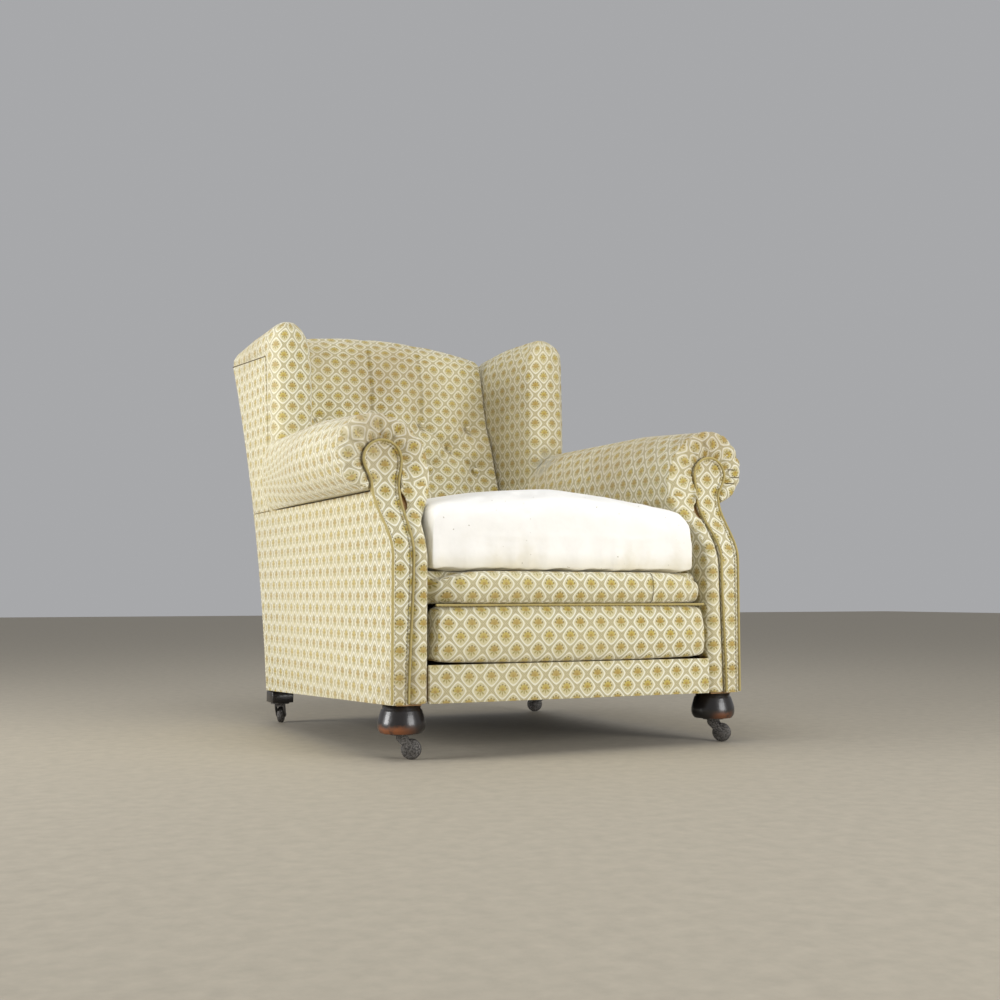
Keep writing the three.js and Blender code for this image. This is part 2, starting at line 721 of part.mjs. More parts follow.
function frontBorder() {
  const bottom = railCoverTop + gap;
  const back = lipDepth - lipOut;
  const middle = (bottom + borderTop) / 2;
  const tall = (borderTop - bottom) / 2;
  const plump = (share, power) => (1 - Math.abs(2 * share - 1) ** power) ** (1 / power);
  const ends = [0, 0.004, 0.018, 0.06, 0.28, 0.5, 0.72, 0.94, 0.982, 0.996, 1];
  const shares = [0, 0.03, 0.12, 0.3, 0.55, 0.8, 0.95, 1];
  const point = (depth) => (u, v) => {
    const half = borderWidth / 2 - borderTaper * v;
    const reach = lerp(0.75, 1, plump(u, 4));
    const full = plump(u, 6) * plump(v, 2.6);
    return vec(lerp(-half, half, u), depth(full), middle + tall * reach * (2 * v - 1));
  };
  return slab(point((full) => lerp(facingBack, -borderBulge, full)), point(() => back), ends, shares);
}

function seatDeck() {
  const half = postInner - 1;
  const bottom = deckTop - deckThickness;
  const back = backRailFront(deckTop) - 2 * gap;
  const ends = [0, 0.008, 0.03, 0.1, 0.5, 0.9, 0.97, 0.992, 1];
  const loops = ends.map((u) => {
    const x = lerp(-half, half, u);
    const round = (1 - Math.abs(2 * u - 1) ** 16) ** 0.5;
    const out = lipDepth - (lipDepth + lipOut) * round;
    const middle = (deckTop + lipBottom) / 2;
    const tall = (deckTop - lipBottom) / 2;
    const lip = steps(-Math.PI / 2, Math.PI / 2, 6).map((turn) => {
      const reach = Math.cos(turn) ** 0.8;
      return vec(x, lerp(out + tall * 0.7, out, reach), middle + tall * Math.sin(turn));
    });
    const rear = [vec(x, back, deckTop), vec(x, back, bottom), vec(x, lipDepth + 20, bottom)];
    return [vec(x, lipDepth + 14, lipBottom), ...lip, ...rear];
  });
  return skin(loops, 7);
}

function seatCushion() {
  const floor = deckTop + gap;
  const back = insideY(0, padBottom) - 12;
  const us = [0, 0.015, 0.05, 0.12, 0.28, 0.5, 0.72, 0.88, 0.95, 0.985, 1];
  const vs = [0, 0.012, 0.04, 0.1, 0.25, 0.5, 0.75, 0.9, 0.97, 1];
  const square = (share) => 1 - Math.abs(2 * share - 1) ** 24;
  const dome = (share) => 1 - (2 * share - 1) ** 2;
  const spread = (u, v) => {
    const y = lerp(cushionFront, back, v);
    const half = lerp(cushionFrontWidth, cushionBackWidth, ease(v, 0.35, 0.95)) / 2;
    return { x: lerp(-half, half, u) + cushionShift * (1 - v), y };
  };
  return slab(
    (u, v) => {
      const { x, y } = spread(u, v);
      const full = Math.sqrt(square(u) * square(v));
      const z = floor + cushionHeight * (0.45 + 0.55 * full) + cushionCrown * dome(u) * Math.sqrt(square(v));
      const limit = armFaceX(z) - 3;
      return vec(clamp(x, -limit, limit), y, z);
    },
    (u, v) => {
      const { x, y } = spread(u, v);
      const full = Math.sqrt(square(u) * square(v));
      return vec(x, y, floor + cushionHeight * 0.2 * (1 - full));
    },
    us,
    vs,
  );
}

// Webbing with the seat springs sewn to it, webbing of the back, and the bottom cloth
function lattice(us, vs, strap) {
  const straps = [...us.map((u) => strap(u, true)), ...vs.map((v) => strap(v, false))];
  return join(...straps);
}

function coil(x, y, bottom, top) {
  const sides = 3;
  const stops = springTurns * 5;
  const rings = range(stops + 1).map((index) => {
    const share = index / stops;
    const turn = 2 * Math.PI * springTurns * share;
    const radius = lerp(springWaist, springRadius, (2 * share - 1) ** 2);
    const z = lerp(bottom, top - springWire, share);
    return range(sides).map((corner) => {
      const lean = (2 * Math.PI * corner) / sides;
      const reach = radius + springWire * Math.cos(lean);
      return vec(x + reach * Math.cos(turn), y + reach * Math.sin(turn), z + springWire * Math.sin(lean));
    });
  });
  return skin(rings, 2);
}

function seatWebbing() {
  const middle = (facingBack + bodyDepth) / 2 - 20;
  const offsets = range(strapCount).map((index) => (index - (strapCount - 1) / 2) * strapPitch);
  const spots = offsets.filter((_, index) => index % 2 === 0);
  const bottom = railTop + gap;
  const top = bottom + strapThickness;
  const strap = (offset, lengthwise) => {
    const half = strapWidth / 2;
    if (lengthwise)
      return box(offset - half, offset + half, facingBack + 6, backY(railTop) - lining - 8, bottom, top);
    const reach = timberOuter - 6;
    return box(-reach, reach, middle + offset - half, middle + offset + half, bottom, top);
  };
  const ceiling = deckTop - deckThickness - gap;
  const springs = spots.flatMap((x) => spots.map((y) => coil(x, middle + y, top - 1, ceiling)));
  return join(lattice(offsets, spots, strap), ...springs);
}

function backWebbing() {
  const half = strapWidth / 2;
  const front = (z) => backRailFront(z) - gap - strapThickness;
  const back = (z) => backRailFront(z) - gap;
  const low = padBottom + 10;
  const high = crestRailTop - 8;
  const strap = (offset, upright) => {
    if (upright) return board(offset - half, offset + half, low, high, front, back, backKnots);
    return board(-halfInside + 20, halfInside - 20, offset - half, offset + half, front, back, backKnots);
  };
  const columns = [-1, 0, 1].map((index) => index * strapPitch * 1.6);
  const rows = [0.35, 0.62].map((share) => lerp(lowerRailTop, crestRailBottom, share));
  return lattice(columns, rows, strap);
}

function bottomCloth() {
  const half = timberOuter - 2;
  const corner = blockSize + 34;
  const front = facingBack;
  const back = bodyDepth - lining - 2;
  const shape = new THREE.Shape();
  shape.moveTo(-half + corner, front);
  shape.lineTo(half - corner, front);
  shape.lineTo(half - corner, front + corner);
  shape.lineTo(half, front + corner);
  shape.lineTo(half, back - corner);
  shape.lineTo(half - corner, back - corner);
  shape.lineTo(half - corner, back);
  shape.lineTo(-half + corner, back);
  shape.lineTo(-half + corner, back - corner);
  shape.lineTo(-half, back - corner);
  shape.lineTo(-half, front + corner);
  shape.lineTo(-half + corner, front + corner);
  const sheet = new THREE.ExtrudeGeometry(shape, { depth: 1.5, bevelEnabled: false });
  const place = sheet.attributes.position;
  for (const index of range(place.count)) {
    const lift = bottomZ(place.getY(index)) + 1.5;
    place.setZ(index, place.getZ(index) + lift);
  }
  return sheet;
}

// Feet and castors, each castor in its own turned group
function bunFoot() {
  const low = castorHeight;
  const bunHeight = bunTop - low;
  const profile = [
    [0, low],
    [bunFootRadius, low],
    [bunRadius - 1, low + bunHeight * 0.16],
    [bunRadius, low + bunHeight * 0.36],
    [bunRadius - 2.5, low + bunHeight * 0.6],
    [bunTopRadius + 2, low + bunHeight * 0.84],
    [bunTopRadius, low + bunHeight * 0.88],
    [bunTopRadius, low + bunHeight],
    [0, low + bunHeight],
  ];
  return turned(profile, 16);
}

function castorPlate() {
  const top = castorHeight - gap;
  const low = top - castorPlateThickness;
  const crown = 2 * wheelRadius + runningGap;
  const profile = [
    [0, crown + gap],
    [pintleRadius, crown + gap],
    [pintleRadius, low],
    [castorPlateRadius, low],
    [castorPlateRadius, top],
    [0, top],
  ];
  return turned(profile, 8);
}

function castorFork() {
  const cheek = wheelWidth / 2 + runningGap;
  const outside = cheek + forkThickness;
  const crownTop = castorHeight - castorPlateThickness - 2 * gap;
  const crownLow = 2 * wheelRadius + runningGap;
  const crownHalf = pintleRadius + 5;
  const eye = axleRadius + 3;
  const side = (inner) => {
    const heel = -crownHalf + 1;
    const outline = [
      [-crownHalf, crownTop],
      [heel, crownLow - 3],
      [castorTrail - eye, wheelRadius - eye * 0.4],
      [castorTrail, wheelRadius - eye],
      [castorTrail + eye, wheelRadius],
      [crownHalf, crownTop],
    ];
    const loop = (y) => outline.map(([x, z]) => vec(x, y, z));
    return skin([loop(inner), loop(inner + forkThickness)], 3);
  };
  const crown = box(-crownHalf, crownHalf, -outside, outside, crownLow, crownTop);
  const axle = new THREE.CylinderGeometry(axleRadius, axleRadius, 2 * outside + 2, 6);
  axle.translate(castorTrail, 0, wheelRadius);
  const hole = new THREE.CylinderGeometry(pintleRadius + gap, pintleRadius + gap, castorHeight, 8);
  hole.rotateX(Math.PI / 2).translate(0, 0, castorHeight);
  return cut(join(crown, side(cheek), side(-outside), axle), hole);
}

function castorWheel() {
  const half = wheelWidth / 2;
  const bore = axleRadius + gap;
  const facets = 14;
  const rim = wheelRadius / Math.cos(Math.PI / facets);
  const profile = [
    [bore, -half],
    [rim - 5, -half],
    [rim, -half + 3],
    [rim, half - 3],
    [rim - 5, half],
    [bore, half],
    [bore, -half],
  ];
  return turned(profile, facets).rotateZ(Math.PI / facets).rotateX(Math.PI / 2);
}

const paint = (color, roughness, metalness) => () =>
  new THREE.MeshStandardMaterial({ color, roughness, metalness });
const brocade = paint(0xc9bb86, 0.85, 0);
const calico = paint(0xf1ece0, 0.9, 0);
const beech = paint(0xb98d5a, 0.7, 0);
const jute = paint(0x8b7346, 0.95, 0);
const hessian = paint(0x3b3630, 0.95, 0);
const ebonised = paint(0x1b1817, 0.35, 0);
const iron = paint(0x3a3836, 0.55, 0.8);

const chair = new THREE.Group();

function add(name, geometry, material, parent = chair) {
  const mesh = new THREE.Mesh(geometry, material());
  mesh.name = name;
  parent.add(mesh);
  return mesh;
}

function addPair(name, right, left, material) {
  add(`right_${name}`, right, material);
  add(`left_${name}`, left, material).scale.x = -1;
}

const addSides = (name, geometry, material) => addPair(name, geometry, geometry, material);

const single = ["front_rail", "back_rail", "crest_rail", "lower_back_rail"];
for (const [name, make] of Object.entries(frame)) {
  if (single.includes(name)) add(name, make(0), beech);
  else addSides(name, make(0), beech);
}

const armPanelFront = (z) => frontY(z) + facingBack;
const armPanelKnots = [...steps(frontClearance, shoulderHeight, 4), ...sweepKnots.slice(1)];
const wingPanel = (grow) => outsidePanel(wingPanelLow, wingSeam, wingSeamFall, panelStart, backKnots, grow);
const inWing = ["back_post", "wing_stile", "arm_rail", "crest_rail", "lower_back_rail"];
const settle = (lift) => (piece) => raised(piece, lift, armHeight + armRise, wingHeight);
const wingLifts = [rightWingLift, leftWingLift].map(settle);
const wing = (lifted) => {
  const timbers = inWing.map((name) => frame[name](gap));
  return cut(lifted(wingSolid(0)), lifted(wingPanel(gap)), outsideBack(gap), ...timbers);
};
const arm = scrollArm(wingSolid(gap), wingPanel(gap));
addPair("wing", ...wingLifts.map(wing), brocade);
addPair("outside_wing", ...wingLifts.map((lifted) => cut(lifted(wingPanel(0)), outsideBack(gap))), brocade);
addPair("arm", raised(arm, rightArmLift, headZ + headRadius, armHeight), arm, brocade);
addSides("outside_arm", outsidePanel(bottomZ, outsideSeam, 0, armPanelFront, armPanelKnots, 0), brocade);
addSides("arm_facing", armFacing(), brocade);
add("outside_back", outsideBack(0), brocade);
add("inside_back", insideBack(), brocade);
buttonSpots.forEach((spot, index) => add(`back_button_${index + 1}`, button(spot), brocade));
add("front_rail_cover", railCover(), brocade);
add("front_border", frontBorder(), brocade);
add("seat_deck", seatDeck(), brocade);
add("seat_cushion", seatCushion(), calico);
add("seat_webbing", seatWebbing(), jute);
add("back_webbing", backWebbing(), jute);
add("bottom_cloth", bottomCloth(), hessian);

const blockY = bodyDepth - blockSize / 2 - 1;
const blockX = backWidth / 2 - blockSize / 2 - 1;
const bunX = halfFront - bunInset;
const corners = [
  { name: "front_left", x: -bunX, y: bunSetBack, turn: -24 },
  { name: "front_right", x: bunX, y: bunSetBack, turn: -50 },
  { name: "back_left", x: -blockX, y: blockY, turn: 64 },
  { name: "back_right", x: blockX, y: blockY, turn: 156 },
];
for (const { name, x, y, turn } of corners) {
  const foot = name.startsWith("front")
    ? bunFoot()
    : box(-blockSize / 2, blockSize / 2, -blockSize / 2, blockSize / 2, castorHeight, backClearance - gap);
  add(`${name}_foot`, foot, ebonised).position.set(x, y, 0);
  const castor = new THREE.Group();
  castor.position.set(x, y, 0);
  castor.rotation.z = THREE.MathUtils.degToRad(turn);
  chair.add(castor);
  add(`${name}_castor_plate`, castorPlate(), iron, castor);
  add(`${name}_castor_fork`, castorFork(), iron, castor);
  add(`${name}_castor_wheel`, castorWheel(), iron, castor).position.set(castorTrail, 0, wheelRadius);
}

// The origin is on the floor under the middle of the whole chair
const armchair = new THREE.Group();
const extent = new THREE.Box3().setFromObject(chair, true);
chair.position.y = -(extent.min.y + extent.max.y) / 2;
armchair.add(chair);

export default armchair;
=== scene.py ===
import math

import bmesh
import bpy
import numpy as np
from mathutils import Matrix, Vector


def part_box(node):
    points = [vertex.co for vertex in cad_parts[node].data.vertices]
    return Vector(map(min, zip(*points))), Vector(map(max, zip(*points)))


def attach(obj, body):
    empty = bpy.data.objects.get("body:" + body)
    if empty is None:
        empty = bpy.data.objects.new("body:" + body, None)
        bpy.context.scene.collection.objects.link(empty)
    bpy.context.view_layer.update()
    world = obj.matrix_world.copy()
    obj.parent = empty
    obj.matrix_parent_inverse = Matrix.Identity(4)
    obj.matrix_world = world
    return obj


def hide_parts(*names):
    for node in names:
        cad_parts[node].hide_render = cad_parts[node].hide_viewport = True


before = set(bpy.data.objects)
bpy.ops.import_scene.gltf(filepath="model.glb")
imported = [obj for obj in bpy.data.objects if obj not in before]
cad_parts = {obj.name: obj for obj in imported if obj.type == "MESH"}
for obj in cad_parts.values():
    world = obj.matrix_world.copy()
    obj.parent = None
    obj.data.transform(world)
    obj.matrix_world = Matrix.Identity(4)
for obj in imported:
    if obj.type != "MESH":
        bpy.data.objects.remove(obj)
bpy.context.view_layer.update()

# Driving sizes in metres. Depths run back from the front face of the arm posts, heights up from the floor.
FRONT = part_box("left_arm_facing")[0].y
SIDES = {"left": -1, "right": 1}
REPEAT_ACROSS, REPEAT_UP = 0.043, 0.0465  # the cloth's pattern repeat
BACK_RAKE = 1.07  # length of cloth for each metre of height on the sloping back
CREST = 0.86  # height where the back's cover turns over its top
BUTTON_PITCH, ROW_PITCH = 0.131, 0.055
BUTTON_ROWS = (0.700, 0.645, 0.590)
PLEAT_TOP = 0.905
SCROLL_X, SCROLL_Z, SCROLL_RADIUS = 0.362, 0.536, 0.071  # the arm's roll
ROLL_INSIDE = 0.1045  # mean radius of the roll's inner quarter
ROLL_SPRING = 0.505  # height where the inside of the arm runs into the roll
HEAD_X, HEAD_Z, HEAD_RADIUS = 0.349, 0.521, 0.037  # rounded head of the arm facing
SCROLL_FOOT = HEAD_Z - 0.045  # below it the arm's front is a plain strip
ARM_FRONT = 0.077  # the scroll's set-back
WING_X, WING_Y, WING_RADIUS = 0.322, 0.746, 0.052  # plan of the wing's front edge
WHEEL_RADIUS, WHEEL_WIDTH = 0.018, 0.014
CASTOR_TURNS = {"front_left": -24, "front_right": -50, "back_left": 64, "back_right": 156}  # degrees


# Meshes
def new_object(name, mesh):
    piece = bpy.data.objects.new(name, mesh)
    bpy.context.scene.collection.objects.link(piece)
    return piece


def new_mesh(name, form):
    """An object of a finished bmesh."""
    mesh = bpy.data.meshes.new(name)
    form.to_mesh(mesh)
    form.free()
    return new_object(name, mesh)


def node_copy(node, name):
    """A merged copy of a CAD node's mesh as a new object."""
    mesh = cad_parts[node].data.copy()
    mesh.materials.clear()
    form = bmesh.new()
    form.from_mesh(mesh)
    bmesh.ops.remove_doubles(form, verts=form.verts, dist=1e-5)
    form.to_mesh(mesh)
    form.free()
    return new_object(name, mesh)


def worked_mesh(piece):
    """The mesh that a piece's curve or modifiers give."""
    return bpy.data.meshes.new_from_object(piece.evaluated_get(bpy.context.evaluated_depsgraph_get()))


def applied(piece):
    """Replaces the piece's mesh by the result of its modifiers."""
    result = worked_mesh(piece)
    piece.modifiers.clear()
    piece.data = result
    return piece


def softened(node, name, voxel, rounds):
    """A finely meshed, smoothed copy of a padded CAD node."""
    piece = node_copy(node, name)
    remesh = piece.modifiers.new("remesh", "REMESH")
    remesh.mode = "VOXEL"
    remesh.voxel_size = voxel
    smooth = piece.modifiers.new("smooth", "SMOOTH")
    smooth.factor = 0.5
    smooth.iterations = rounds
    return applied(piece)


def bevelled(piece, width, segments, crease=30):
    """Rounds the edges that turn by more than the crease, in degrees."""
    edge = piece.modifiers.new("edge", "BEVEL")
    edge.width, edge.segments, edge.angle_limit = width, segments, math.radians(crease)
    return applied(piece)


def points_of(mesh):
    points = np.empty(len(mesh.vertices) * 3)
    mesh.vertices.foreach_get("co", points)
    return points.reshape(-1, 3)


def normals_of(mesh):
    normals = np.empty(len(mesh.vertices) * 3)
    mesh.vertices.foreach_get("normal", normals)
    return normals.reshape(-1, 3)


def set_points(mesh, points):
    mesh.vertices.foreach_set("co", points.ravel())
    mesh.update()


def moved(piece, shift):
    """Moves every point of the piece by shift(points, normals)."""
    points = points_of(piece.data)
    set_points(piece.data, points + shift(points, normals_of(piece.data)))
    return piece


def shifted(piece, offset):
    return moved(piece, lambda points, normals: np.tile(np.array(offset), (len(points), 1)))


def inflated(piece, pressure, cap, steps=20):
    """Swells a closed piece by a cloth simulation, no point moving further than cap."""
    start = points_of(piece.data)
    cloth = piece.modifiers.new("cloth", "CLOTH")
    settings = cloth.settings
    settings.quality = 4
    settings.use_pressure = True
    settings.uniform_pressure_force = pressure
    settings.tension_stiffness = settings.compression_stiffness = 12
    settings.shear_stiffness = 6
    settings.effector_weights.gravity = 0
    cloth.collision_settings.use_collision = False
    for step in range(1, steps + 1):
        bpy.context.scene.frame_set(step)
    applied(piece)
    bpy.context.scene.frame_set(1)
    travel = points_of(piece.data) - start
    reach = np.linalg.norm(travel, axis=1, keepdims=True)
    set_points(piece.data, start + travel * np.minimum(1, cap / np.maximum(reach, 1e-9)))
    return piece


def healed(piece, spot, radius, rounds):
    """Smooths the surface about a spot until it closes flat."""
    mesh = piece.data
    points = points_of(mesh)
    near = np.linalg.norm(points - np.array(spot), axis=1) < radius
    ends = np.empty(len(mesh.edges) * 2, int)
    mesh.edges.foreach_get("vertices", ends)
    ends = ends.reshape(-1, 2)
    ends = ends[near[ends].any(axis=1)]
    for _ in range(rounds):
        total, count = np.zeros_like(points), np.zeros(len(points))
        for one, other in ((0, 1), (1, 0)):
            np.add.at(total, ends[:, one], points[ends[:, other]])
            np.add.at(count, ends[:, one], 1)
        points[near] = total[near] / np.maximum(count[near], 1)[:, None]
    set_points(mesh, points)
    return piece


def smoothstep(value, low, high):
    share = np.clip((value - low) / (high - low), 0, 1)
    return share * share * (3 - 2 * share)


# Cloth laid on a piece, in metres: tests pick its faces, and rules place its points on the cloth
def lay_cloth(piece, regions):
    """Gives the piece a UV map from pairs of a test and a rule, later pairs over earlier ones."""
    mesh = piece.data
    count = len(mesh.polygons)
    centres, facings = np.empty(count * 3), np.empty(count * 3)
    mesh.polygons.foreach_get("center", centres)
    mesh.polygons.foreach_get("normal", facings)
    sizes, corners = np.empty(count, int), np.empty(len(mesh.loops), int)
    mesh.polygons.foreach_get("loop_total", sizes)
    mesh.loops.foreach_get("vertex_index", corners)
    face_of = np.repeat(np.arange(count), sizes)
    points = points_of(mesh)
    places = np.zeros((len(corners), 2))
    for test, rule in regions:
        inside = test(centres.reshape(-1, 3), facings.reshape(-1, 3))[face_of]
        places[inside] = rule(points)[corners[inside]]
    mesh.uv_layers.new(name="cloth").data.foreach_set("uv", places.ravel())


def everywhere(centres, facings):
    return np.ones(len(centres), bool)


def facing_along(axis, least):
    return lambda centres, facings: np.abs(facings[:, axis]) > least


def flat(first, second):
    return lambda points: np.stack([points[:, first], points[:, second]], 1)


SIDEWAYS, FORWARDS, LEVEL = facing_along(0, 0.72), facing_along(1, 0.72), facing_along(2, 0.85)
FACE_ON, SIDE_ON, FROM_ABOVE = flat(0, 2), flat(1, 2), flat(0, 1)


# Shaders: arithmetic on sockets
def add_node(tree, kind, settings, sockets):
    """A node with its settings made first, then the values or links of its sockets."""
    node = tree.nodes.new(kind)
    for key, value in settings.items():
        setattr(node, key, value)
    for key, value in sockets.items():
        if isinstance(value, Field):
            tree.links.new(value.socket, node.inputs[key])
        else:
            node.inputs[key].default_value = value
    return node


class Field:
    """An output socket that takes part in Python expressions."""

    def __init__(self, tree, socket):
        self.tree, self.socket = tree, socket

    def through(self, kind, settings, sockets, output=0):
        """The output of a new node in this field's tree."""
        return Field(self.tree, add_node(self.tree, kind, settings, sockets).outputs[output])

    def math(self, operation, *values):
        return self.through("ShaderNodeMath", {"operation": operation}, dict(enumerate((self, *values))))

    def __add__(self, other):
        return self.math("ADD", other)

    def __sub__(self, other):
        return self.math("SUBTRACT", other)

    def __mul__(self, other):
        return self.math("MULTIPLY", other)

    def __truediv__(self, other):
        return self.math("DIVIDE", other)

    __radd__, __rmul__ = __add__, __mul__

    def __rsub__(self, other):
        return (self * -1) + other

    def under(self, edge, soft):
        """1 below the edge, 0 above it, softly between."""
        limits = (self, edge - soft, edge + soft, 1.0, 0.0)
        return self.through("ShaderNodeMapRange", {"interpolation_type": "SMOOTHSTEP"}, dict(enumerate(limits)))

    def mix(self, first, second):
        """Colours mixed by this field."""
        return self.through("ShaderNodeMix", {"data_type": "RGBA"}, {0: self, 6: first, 7: second}, 2)

    def darker(self, value):
        """This colour at another brightness."""
        return self.through("ShaderNodeHueSaturation", {}, {"Value": value, "Color": self})


def colour(text):
    """A linear colour from an sRGB hex string."""
    parts = [int(text[start : start + 2], 16) / 255 for start in (0, 2, 4)]
    return (*[part / 12.92 if part < 0.04045 else ((part + 0.055) / 1.055) ** 2.4 for part in parts], 1.0)


class Surface:
    """A material with one Principled shader, its coordinates and its outputs."""

    def __init__(self, name):
        self.material = bpy.data.materials.new(name)
        self.material.use_nodes = True
        self.tree = self.material.node_tree
        self.shader = self.tree.nodes["Principled BSDF"]
        place = add_node(self.tree, "ShaderNodeTexCoord", {}, {})
        self.place = Field(self.tree, place.outputs["Object"])
        self.x, self.y, self.z = self.split(self.place)

    def split(self, vector):
        node = add_node(self.tree, "ShaderNodeSeparateXYZ", {}, {0: vector})
        return [Field(self.tree, output) for output in node.outputs]

    def cloth(self):
        """Places across and up the cloth that is laid on the piece."""
        node = add_node(self.tree, "ShaderNodeUVMap", {"uv_map": "cloth"}, {})
        return self.split(Field(self.tree, node.outputs[0]))[:2]

    def noise(self, scale, detail=3.0, rough=0.6):
        sockets = {"Vector": self.place, "Scale": scale, "Detail": detail, "Roughness": rough}
        return self.place.through("ShaderNodeTexNoise", {}, sockets)

    def spot(self, x, y, z, radius):
        """1 about a place on the chair, falling to 0 at the radius."""
        square = (self.x - x) * (self.x - x) + (self.y - y) * (self.y - y) + (self.z - z) * (self.z - z)
        return square.math("SQRT").under(radius * 0.6, radius * 0.4)

    def set(self, **values):
        for name, value in values.items():
            socket = self.shader.inputs[name.replace("_", " ")]
            if isinstance(value, Field):
                self.tree.links.new(value.socket, socket)
            else:
                socket.default_value = value
        return self

    def bump(self, height, distance, strength):
        sockets = {"Strength": strength, "Distance": distance, "Height": height}
        return self.set(Normal=height.through("ShaderNodeBump", {}, sockets))


# The brocade's motif: each blade has a turn in degrees, a reach, a length and a width
FLOWER = ((90, 0.0050, 0.0046, 0.0027), (50, 0.0049, 0.0045, 0.0025), (8, 0.0048, 0.0042, 0.0022))
HEART = ((90, 0.0002, 0.0030, 0.0030),)
LEAF = ((-45, 0.0062, 0.0032, 0.0015), (-90, 0.0060, 0.0032, 0.0013))
TIPS = ((90, 0.0092, 0.0012, 0.0017), (52, 0.0090, 0.0012, 0.0017), (12, 0.0086, 0.0012, 0.0016))
BLADE_EDGE = 0.0005
OGEE_POWER, OGEE_BAND, OGEE_INSIDE = 1.45, 0.68, 0.62  # the cell's outline, and shares of its size
WARP_PITCH, WEFT_PITCH = 0.0011, 0.0013

# Soil marks where hands, heads and arms have rested, and painted shade on the right arm and wing where the left wing
# and arm keep the key light off: place across, depth, height, radius and strength
SOILING_AND_SHADE = (
    (-0.335, 0.10, 0.590, 0.13, 0.9),
    (0.340, 0.10, 0.600, 0.12, 0.8),
    (-0.36, 0.36, 0.615, 0.20, 0.25),
    # the next two are painted shade on the right arm's top and inside, where the left wing and arm keep the key light
    # off
    (0.33, 0.30, 0.600, 0.26, 0.8),
    (0.33, 0.58, 0.600, 0.22, 0.8),
    # painted shade on the inside of the right wing, where the left wing keeps the key light off
    (0.28, 0.82, 0.720, 0.26, 0.55),
    (-0.02, 0.93, 0.820, 0.20, 0.95),
    (-0.20, 0.95, 0.880, 0.14, 0.6),
    (-0.325, 0.01, 0.110, 0.09, 0.6),
    (0.345, 0.01, 0.110, 0.09, 0.35),
    (-0.345, 0.90, 0.890, 0.15, 0.6),
    (0.32, 0.72, 0.860, 0.12, 0.35),
)
TEAR_X, TEAR_DEPTH, TEAR_HEIGHT, TEAR_RADIUS = 0.285, 0.665, 0.605, 0.06
LIT_SIDE_X = -0.356  # beyond it the left side is painted lighter: painted light on the left side, which faces the key lamp


def half_drop(across, up):
    """Offsets from the nearest motif's middle, and 1 where it belongs to the first of the two sets."""

    def cell(shift):
        return [
            ((value / size + shift).math("FRACT") - 0.5) * size
            for value, size in ((across, REPEAT_ACROSS), (up, REPEAT_UP))
        ]

    def lozenge(pair):
        return pair[0].math("ABSOLUTE") / (REPEAT_ACROSS / 2) + pair[1].math("ABSOLUTE") / (REPEAT_UP / 2)

    first, second = cell(0.0), cell(0.5)
    nearer = (lozenge(first) - lozenge(second)).under(0, 1e-5)
    right, high = [a * nearer + b * (1 - nearer) for a, b in zip(first, second)]
    return right.math("ABSOLUTE"), high, nearer


def fan(right, high, blades):
    """Distance to the nearest of a fan of blades."""
    nearest = None
    for turn, reach, length, width in blades:
        cos, sin = math.cos(math.radians(turn)), math.sin(math.radians(turn))
        out = (right * cos + high * sin - reach) / length
        aside = (right * sin - high * cos) / width
        away = ((out * out + aside * aside).math("SQRT") - 1) * width
        nearest = away if nearest is None else nearest.math("MINIMUM", away)
    return nearest


def soiled_shaded_and_lit(cover, cloth):
    """Browns the cloth with soil marks and with painted shade, fades it, lightens its left side with painted light
    and tears it.
    """
    dirt_and_shade = None
    for x, depth, height, radius, strength in SOILING_AND_SHADE:
        patch = cover.spot(x, FRONT + depth, height, radius) * strength
        dirt_and_shade = patch if dirt_and_shade is None else dirt_and_shade.math("MAXIMUM", patch)
    dirt_and_shade = dirt_and_shade * (cover.noise(9, 4).under(0.56, 0.26) * 0.75 + 0.25)
    # browns the cloth where it has been used and darkens it with painted shade on the right arm and wing
    cloth = (dirt_and_shade * 0.5).mix(cloth, colour("86693a"))
    faded = cover.noise(4, 3).under(0.5, 0.2) * 0.25
    cloth = faded.mix(cloth, colour("cbbf92"))
    # painted light: the left side lightened as if lit more by the key lamp
    painted_light = cover.x.under(LIT_SIDE_X, 0.004) * 0.12
    cloth = painted_light.mix(cloth, colour("e9e3d0"))
    torn = cover.spot(TEAR_X, FRONT + TEAR_DEPTH, TEAR_HEIGHT, TEAR_RADIUS)
    torn = torn * cover.noise(60, 4).under(0.52, 0.06)
    return torn.mix(cloth, colour("aaa797"))


